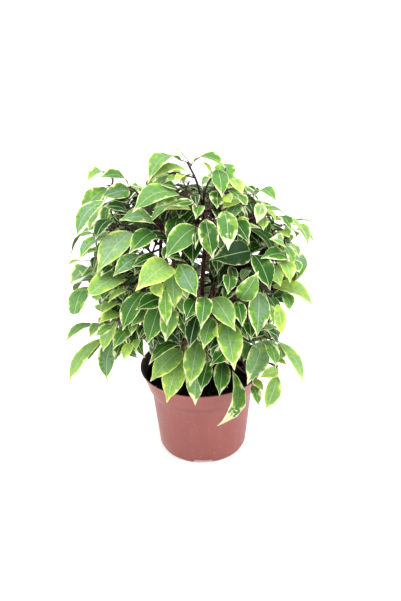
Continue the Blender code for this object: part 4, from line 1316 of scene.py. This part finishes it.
def has_room(blade):
    """True if a blade is clear of the solids and of the leaves added so far, and hides nothing unwanted."""
    tree = blade_tree(blade, ROOM_GAP)
    if tree.overlap(SOLIDS):
        return False
    centre = (blade.foot + blade.tip) / 2
    if any((centre - middle).length < LEAF_REACH and tree.overlap(other) for middle, other in fill_trees):
        return False
    return not any(is_unwanted(mark) for mark in marks_of(blade))


def take_room(blade):
    """Keep a blade's room, so that leaves added later stay clear of it."""
    fill_trees.append(((blade.foot + blade.tip) / 2, blade_tree(blade, LEAF_GAP)))


def fill_leaf(label, index, root, along, lengths):
    """A small leaf where there is room for it, or none."""
    reach = 0.80 if root.y < 0.02 else 0.97
    for blade in rule_blades(label, index, root, along, lengths, reach):
        if has_room(blade):
            take_room(blade)
            looks = DEEP_LOOKS if in_crown(blade.foot).length < DEEP_LAYER else FILL_LOOKS
            return blade, random.Random(f"look {label} {index}").choice(looks)
    return None


for name, leaf, root in unplaced:
    for blade in near_blades(leaf, root):
        if not blade_tree(blade, LEAF_GAP).overlap(SOLIDS):
            take_room(blade)
            shoots[name].blades.append((blade, leaf.look))
            print("a leaf of", name, "found room beside the solids")
            break

filled = 0
for name, shoot in shoots.items():
    steps = len(shoot.path) - 1
    tries = FILL_PER_SHOOT if name in NEAR_SHOOTS else 2 * FILL_PER_SHOOT
    for index in range(tries):
        root, along = twig_spot(shoot.path, 1.2 + (steps - 1.3) * (index + 0.5) / tries)
        leaf = fill_leaf(f"fill {name}", index, root, along, FILL_LENGTHS)
        if leaf:
            shoot.blades.append(leaf)
            filled += 1
print(filled, "smaller leaves on the shoots")


def shutting_leaf(label, view):
    """Add one leaf that shuts a view through the crown. The answer is its shoot's name, or none."""
    for name, shoot in shoots.items():
        for step in range(1, 4 * len(shoot.path) - 4):
            root, along = twig_spot(shoot.path, step / 4)
            x, y = to_pixel(root)
            if abs(x - view[0]) > SHUT_SEARCH or abs(y - view[1]) > SHUT_SEARCH:
                continue
            for blade in rule_blades(label, step, root, along, SHUT_LENGTHS, 0.97):
                x, y = to_pixel(midrib(blade, 0.5))
                if (x - view[0]) ** 2 + (y - view[1]) ** 2 < SHUT_MISS**2 and has_room(blade):
                    take_room(blade)
                    shoot.blades.append((blade, "dark"))
                    return name
    return None


for number, view in enumerate(SHUT_VIEWS):
    print("view", view, "shut by a leaf of", shutting_leaf(f"shut {number}", view))

# %% [markdown]
# Between the leaves of a shoot, short side twigs carry a few more small leaves each. A side twig takes the
# first of eight headings that meets no solid, hides nothing that was read, and has room for a leaf.

# %% Short side twigs
SIDE_TWIGS = 4
SIDE_TWIGS_BY_RULE = 7
SIDE_LENGTHS = (0.028, 0.044)
TURN_STEP = 137.5


def is_free(points):
    """True if a run of points meets no solid, and hides nothing that was read."""
    for start, end in zip(points, points[1:]):
        way = end - start
        if SOLIDS.ray_cast(start, way.normalized(), way.length + 0.002)[0] is not None:
            return False
    return not any(is_unwanted(point) for point in points)


def side_twig(label, root, along):
    """A short twig with up to three small leaves, where there is room for it, or none."""
    draw = random.Random(label)
    length = draw.uniform(0.016, 0.032)
    first_turn = draw.uniform(0, 360)
    for attempt in range(8):
        side = turned_about(along.orthogonal().normalized(), along, first_turn + TURN_STEP * attempt)
        way = (side + 0.45 * along + 0.15 * UP).normalized()
        start = root + 0.0018 * side
        points = [start, start + 0.5 * length * way + 0.0015 * UP, start + length * way]
        if not is_free(points):
            continue
        spots = [twig_spot(points, spot) for spot in (0.7, 1.4, 1.95)]
        leaves = [fill_leaf(label, index, *spot, SIDE_LENGTHS) for index, spot in enumerate(spots)]
        leaves = [leaf for leaf in leaves if leaf]
        if leaves:
            return Shoot(points, leaves)
    return None


side_twigs = {name: [] for name in shoots}
for name, shoot in shoots.items():
    steps = len(shoot.path) - 1
    tries = SIDE_TWIGS if name in NEAR_SHOOTS else SIDE_TWIGS_BY_RULE
    for index in range(tries):
        root, along = twig_spot(shoot.path, 0.6 + (steps - 1.2) * (index + 0.5) / tries)
        twig = side_twig(f"side {name} {index}", root, along)
        if twig:
            side_twigs[name].append(twig)
every_side = [twig for twigs in side_twigs.values() for twig in twigs]
print(len(every_side), "side twigs with", sum(len(twig.blades) for twig in every_side), "leaves")

# %% [markdown]
# The blade's colour follows its own map. Each corner knows how far it is from the midrib, from the foot and
# from the margin, in millimetres. A node group turns that into a thin cream margin, cream patches that grow
# inwards from it with a yellow-green halo, a greyer middle zone, the side veins and the pale rib. The greyer
# middle is partly the leaf's own grey-green and partly painted sheen.

# %% Pattern of a variegated blade


def blade_group():
    group = bpy.data.node_groups.new("variegated_blade", "ShaderNodeTree")
    for name in ("Cream", "Halo", "Middle", "Vein", "Rib", "Height", "Drift"):
        group.interface.new_socket(name=name, in_out="OUTPUT", socket_type="NodeSocketFloat")
    out = group.nodes.new("NodeGroupOutput").inputs
    end = attribute(group, "cream_end", "Fac")
    across, along, margin = parts_of(group, attribute(group, "blade_mm"))
    _, patch, seed = parts_of(group, attribute(group, "leaf_look"))
    from_rib = sums(group, "ABSOLUTE", across)
    side = sums(group, "MULTIPLY", sums(group, "SIGN", across), 7.0)
    offset = sums(group, "ADD", sums(group, "MULTIPLY", seed, 90.0), side)
    place = put(group, "ShaderNodeCombineXYZ", {
        0: sums(group, "MULTIPLY", across, 0.12), 1: sums(group, "MULTIPLY", along, 0.12), 2: offset,
    }).outputs[0]
    broad = cloud(group, place, 1.0, 2.0, 0.5)
    ragged = cloud(group, place, 3.5, 2.0, 0.5)
    reach = sums(group, "ADD", sums(group, "MULTIPLY", patch, 0.55), 0.34)
    reach = sums(group, "MULTIPLY", reach, step_between(group, ragged, 0.3, 0.7, 0.4, 1.6))
    reach = sums(group, "MULTIPLY", reach, step_between(group, broad, 0.35, 0.65, 0.35, 1.9))
    rim = step_between(group, sums(group, "SUBTRACT", margin, reach), -0.14, 0.14, 1.0, 0.0)
    swell = sums(group, "ADD", broad, step_between(group, margin, 4.5, 0.0, 0.0, 0.22))
    limit = sums(group, "SUBTRACT", 0.83, sums(group, "MULTIPLY", patch, 0.2))
    excess = sums(group, "SUBTRACT", swell, limit)
    blot = step_between(group, excess, 0.0, 0.02)
    group.links.new(step_between(group, excess, -0.17, -0.03), out["Halo"])
    end = sums(group, "ADD", end, step_between(group, ragged, 0.3, 0.7, -0.12, 0.12))
    plain = sums(group, "MAXIMUM", rim, blot)
    group.links.new(sums(group, "MAXIMUM", plain, step_between(group, end, -0.03, 0.03)), out["Cream"])
    border = step_between(group, broad, 0.32, 0.68, 0.7, 6.0)
    border = sums(group, "MULTIPLY", border, step_between(group, ragged, 0.3, 0.7, 0.6, 1.3))
    middle = step_between(group, sums(group, "SUBTRACT", margin, border), -0.35, 0.35)
    group.links.new(middle, out["Middle"])
    vein_line = sums(group, "SUBTRACT", along, sums(group, "MULTIPLY", from_rib, 0.8))
    vein = step_between(group, sums(group, "PINGPONG", vein_line, 1.35), 0.28, 0.0)
    rib = step_between(group, from_rib, 0.34, 0.12)
    group.links.new(vein, out["Vein"])
    group.links.new(rib, out["Rib"])
    dip = sums(group, "ADD", sums(group, "MULTIPLY", vein, 0.3), rib)
    group.links.new(sums(group, "SUBTRACT", 1.0, dip), out["Height"])
    group.links.new(ragged, out["Drift"])
    return group


BLADE = blade_group()
OUTER_GREENS = (
    paint(182, 212, 80), paint(142, 190, 68), paint(100, 158, 40), paint(48, 106, 14), paint(14, 56, 5),
)
# The middle zone's greens are greyer and bluer than the outer ones: partly the leaf's own grey-green, partly
# painted sheen.
MIDDLE_GREENS = (
    paint(152, 188, 90), paint(134, 172, 102), paint(102, 148, 80), paint(42, 92, 24), paint(12, 48, 7),
)


def tone_ramp(tree, tone, greens):
    """A colour picked by a leaf's tone, from fresh yellow-green to nearly black."""
    ramp = put(tree, "ShaderNodeValToRGB", {0: tone})
    stops = ramp.color_ramp.elements
    while len(stops) < len(greens):
        stops.new(0.5)
    for number, (stop, colour) in enumerate(zip(stops, greens)):
        stop.position = number / (len(greens) - 1)
        stop.color = colour
    return ramp.outputs["Color"]


def blade_finish(name, bleach, roughness, relief):
    """The finish of one face of the leaves. The underside is the same pattern, bleached and duller."""
    made, tree, shader = new_material(name)
    pattern = put(tree, "ShaderNodeGroup", node_tree=BLADE).outputs
    tone = parts_of(tree, attribute(tree, "leaf_look"))[0]
    outer = tone_ramp(tree, tone, OUTER_GREENS)
    # Painted sheen with the leaf's own grey: the middle zone is mixed towards a pale bluish grey, as far as
    # the look asks.
    grey = attribute(tree, "middle_grey_and_sheen", "Fac")
    middle = mixed(tree, grey, tone_ramp(tree, tone, MIDDLE_GREENS), paint(168, 190, 176))
    green = mixed(tree, pattern["Middle"], outer, middle)
    green = mixed(tree, step_between(tree, pattern["Drift"], 0.3, 0.7, 0.0, 0.28), green, paint(34, 74, 30))
    halo = sums(tree, "MULTIPLY", pattern["Halo"], step_between(tree, tone, 0.3, 1.0, 0.48, 0.15))
    green = mixed(tree, halo, green, paint(176, 206, 98))
    vein = sums(tree, "MULTIPLY", pattern["Vein"], step_between(tree, tone, 0.5, 1.0, 0.09, 0.03))
    green = mixed(tree, vein, green, paint(160, 200, 110))
    cream = mixed(tree, step_between(tree, tone, 0.1, 0.55), paint(221, 227, 138), paint(228, 230, 186))
    cream = mixed(tree, step_between(tree, tone, 0.7, 1.0, 0.0, 0.6), cream, paint(138, 150, 112))
    leaf = mixed(tree, pattern["Cream"], green, cream)
    leaf = mixed(tree, sums(tree, "MULTIPLY", pattern["Rib"], 0.7), leaf, paint(192, 212, 158))
    leaf = mixed(tree, bleach, leaf, paint(150, 178, 118))
    give(tree, shader, {
        "Base Color": leaf,
        "Roughness": step_between(tree, pattern["Drift"], 0.3, 0.7, roughness, roughness + 0.1),
        "Normal": bump(tree, pattern["Height"], relief, 0.0003), "Specular IOR Level": 0.15,
    })
    return made


upper_finish = blade_finish("leaf_upper_face", 0.0, 0.40, 0.22)
under_finish = blade_finish("leaf_underside", 0.4, 0.55, 0.3)
print("leaf finishes:", upper_finish.name, under_finish.name)

# %% [markdown]
# A flat net is modelled, and each leaf is a copy of it, bent into its place. Smaller leaves use a net with
# fewer rows. The margin waves a little, and the tip turns down. Four maps are written as the net is bent: the
# place on the blade, the leaf's tone, patches and seed, where a cream end starts, and how far the middle goes
# towards pale grey, which is the leaf's own grey-green and painted sheen together.

# %% Bend the leaves
NO_CREAM_END = 9.0
# A look's grey is how far its middle zone goes towards pale grey: the leaf's own grey-green and painted sheen
# together.
Look = namedtuple("Look", "tone patch end blunt fold grey", defaults=(NO_CREAM_END, False, 0.0, 0.0))
LOOKS = {
    "lime": Look(0.04, 0.28), "fresh": Look(0.14, 0.50), "light": Look(0.25, 0.35), "mid": Look(0.38, 0.30),
    "green": Look(0.50, 0.30), "deep": Look(0.65, 0.30), "dark": Look(0.80, 0.20), "night": Look(1.0, 0.10),
    "blue": Look(0.57, 0.30, grey=0.25), "pale": Look(0.26, 0.55, grey=0.3),
    "cream": Look(0.42, 0.65, grey=0.15), "cream_end": Look(0.58, 0.30, 0.78), "patched": Look(0.73, 0.60),
    "broad": Look(0.26, 0.35, blunt=True),
    "broad_green": Look(0.52, 0.4, blunt=True), "curled": Look(0.52, 0.40, 0.70, fold=0.9),
}
FINE_ROWS = (0, 0.05, 0.16, 0.32, 0.50, 0.66, 0.79, 0.89, 0.97, 1)
PLAIN_ROWS = (0, 0.07, 0.28, 0.52, 0.74, 0.88, 0.97, 1)
BROAD_ENOUGH = 0.0145
MAPS = {"blade_mm": "FLOAT_VECTOR", "leaf_look": "FLOAT_VECTOR", "cream_end": "FLOAT", "middle_grey_and_sheen": "FLOAT"}
BLANKS = {}
for shares in (FINE_ROWS, PLAIN_ROWS):
    bpy.ops.mesh.primitive_grid_add(x_subdivisions=4, y_subdivisions=len(shares) - 1, size=1)
    blank = bpy.context.object
    blank.data.materials.append(upper_finish)
    blank.data.materials.append(under_finish)
    BLANKS[shares] = blank


def bent_leaf(blade, look, number):
    """A leaf of this pose and look. The number seeds its own small ways."""
    shares = FINE_ROWS if blade.width > BROAD_ENOUGH else PLAIN_ROWS
    mesh = BLANKS[shares].data.copy()
    mesh.name = "leaf"
    draw = random.Random(f"leaf {number}")
    look = LOOKS[look]
    tone = min(1.0, max(0.0, look.tone + draw.uniform(-0.07, 0.07)))
    patch = look.patch * draw.uniform(0.6, 1.3)
    seed = draw.random()
    waves = draw.uniform(0.2, 1.0)
    phase = draw.uniform(0, 2 * pi)
    hook = draw.uniform(0.3, 1.0)
    fold = look.fold or draw.uniform(0.16, 0.44)
    twist = radians(draw.uniform(-13, 13))
    side = side_of(blade)
    length = (blade.tip - blade.foot).length
    for name, kind in MAPS.items():
        mesh.attributes.new(name, kind, "POINT")
    blade_mm, leaf_look, cream_end, middle_grey_and_sheen = (mesh.attributes[name] for name in MAPS)
    for corner in mesh.vertices:
        share = shares[round((corner.co.y + 0.5) * (len(shares) - 1))]
        across = 2 * corner.co.x
        outline = 0.86 * share if look.blunt and share < 1 else share
        half = max(half_width(blade.width, outline), 0.0003 * (1 - share))
        ripple = 0.05 * waves * half * sin(9 * share * pi + phase + (1.5 if across > 0 else 0)) * across**2
        droop = -0.03 * hook * length * max(0.0, share - 0.55) * (1 - share) * 8
        sway = 0.02 * length * sin(pi * share) * sin(phase)
        rise = fold * abs(across) * half - 0.12 * half * across**2 + ripple
        turn = twist * (share - 0.3)
        reach = cos(turn) * across * half - sin(turn) * rise + sway
        lift = sin(turn) * across * half + cos(turn) * rise + droop
        corner.co = midrib(blade, share) + side * reach + blade.normal * lift
        blade_mm.data[corner.index].vector = (
            1000 * across * half, 1000 * share * length, 1000 * (1 - abs(across)) * half,
        )
        leaf_look.data[corner.index].vector = (tone, patch, seed)
        cream_end.data[corner.index].value = share - look.end
        middle_grey_and_sheen.data[corner.index].value = look.grey
    return added("leaf", mesh)


for shares, blank in BLANKS.items():
    print("a blade of", len(shares) - 1, "rows has", len(blank.data.polygons), "faces on each side")

# %% [markdown]
# Now each shoot is put together: its leaves get the thickness of a real blade, its twig and stalks are
# rods, and all become one piece that stands for the solid.

# %% Put the shoots together
BLADE_THICK = 0.0003
TWIG_BASE = 0.00120
TWIG_END = 0.00070
TWIG_TIP = 0.00015
BUD_SWELL = 1.15
SIDE_TWIG_SHARE = 0.65


def leaf_layer(blades, name):
    """All leaves of a shoot in one piece, with the thickness of a real blade."""
    layer = joined([bent_leaf(blade, look, f"{name} {index}") for index, (blade, look) in enumerate(blades)])
    edit_whole(layer, weld(0.000001))
    thick = layer.modifiers.new("blade", "SOLIDIFY")
    thick.thickness = BLADE_THICK
    thick.offset = 0.0
    thick.material_offset = 1
    thick.use_quality_normals = True
    apply_modifiers(layer)
    bpy.ops.object.shade_smooth_by_angle(angle=radians(45))
    return layer


def stalk_run(blade):
    """A leaf's stalk: from inside the twig, in a low bow, to the foot of the blade."""
    reach = blade.foot - blade.node
    bow = 0.10 * reach.length * UP
    heading = (midrib(blade, 0.04) - blade.foot).normalized()
    points = [blade.node, blade.node + 0.35 * reach + bow, blade.node + 0.75 * reach + bow]
    points.append(blade.foot + 0.0012 * heading)
    radius = 0.00030 + 0.006 * blade.width
    return eased(points, 2), taper(7, 1.3 * radius, 0.9 * radius), 1


def twig_run(path):
    """A twig: it starts inside its stem, thins out, and swells at its buds. Three points are a side twig."""
    root = path[0] - 0.0022 * (path[1] - path[0]).normalized()
    fine = eased([root] + path, 4)
    slim = SIDE_TWIG_SHARE if len(path) == 3 else 1.0
    base = taper(len(fine), slim * TWIG_BASE, slim * TWIG_END)
    radii = [radius * (BUD_SWELL if index % 4 == 0 else 1.0) for index, radius in enumerate(base)]
    radii[-1] = TWIG_TIP
    return fine, radii, 2


def leafy_piece(name, members):
    """One piece of the leaves, stalks and twigs of its members."""
    leaves = [leaf for member in members for leaf in member.blades]
    runs = [twig_run(member.path) for member in members] + [stalk_run(blade) for blade, _ in leaves]
    piece = joined([leaf_layer(leaves, name), rods("twig", runs, 1)])
    piece.name = "leafy_" + name
    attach(piece, "root")
    return piece


total = 0
for name, shoot in shoots.items():
    piece = leafy_piece(name, [shoot] + side_twigs[name])
    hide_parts(f"shoot_{name}")
    total += len(piece.data.polygons)
for blank in BLANKS.values():
    bpy.data.objects.remove(blank, do_unlink=True)
print(len(shoots), "leafy shoots of", total, "faces")
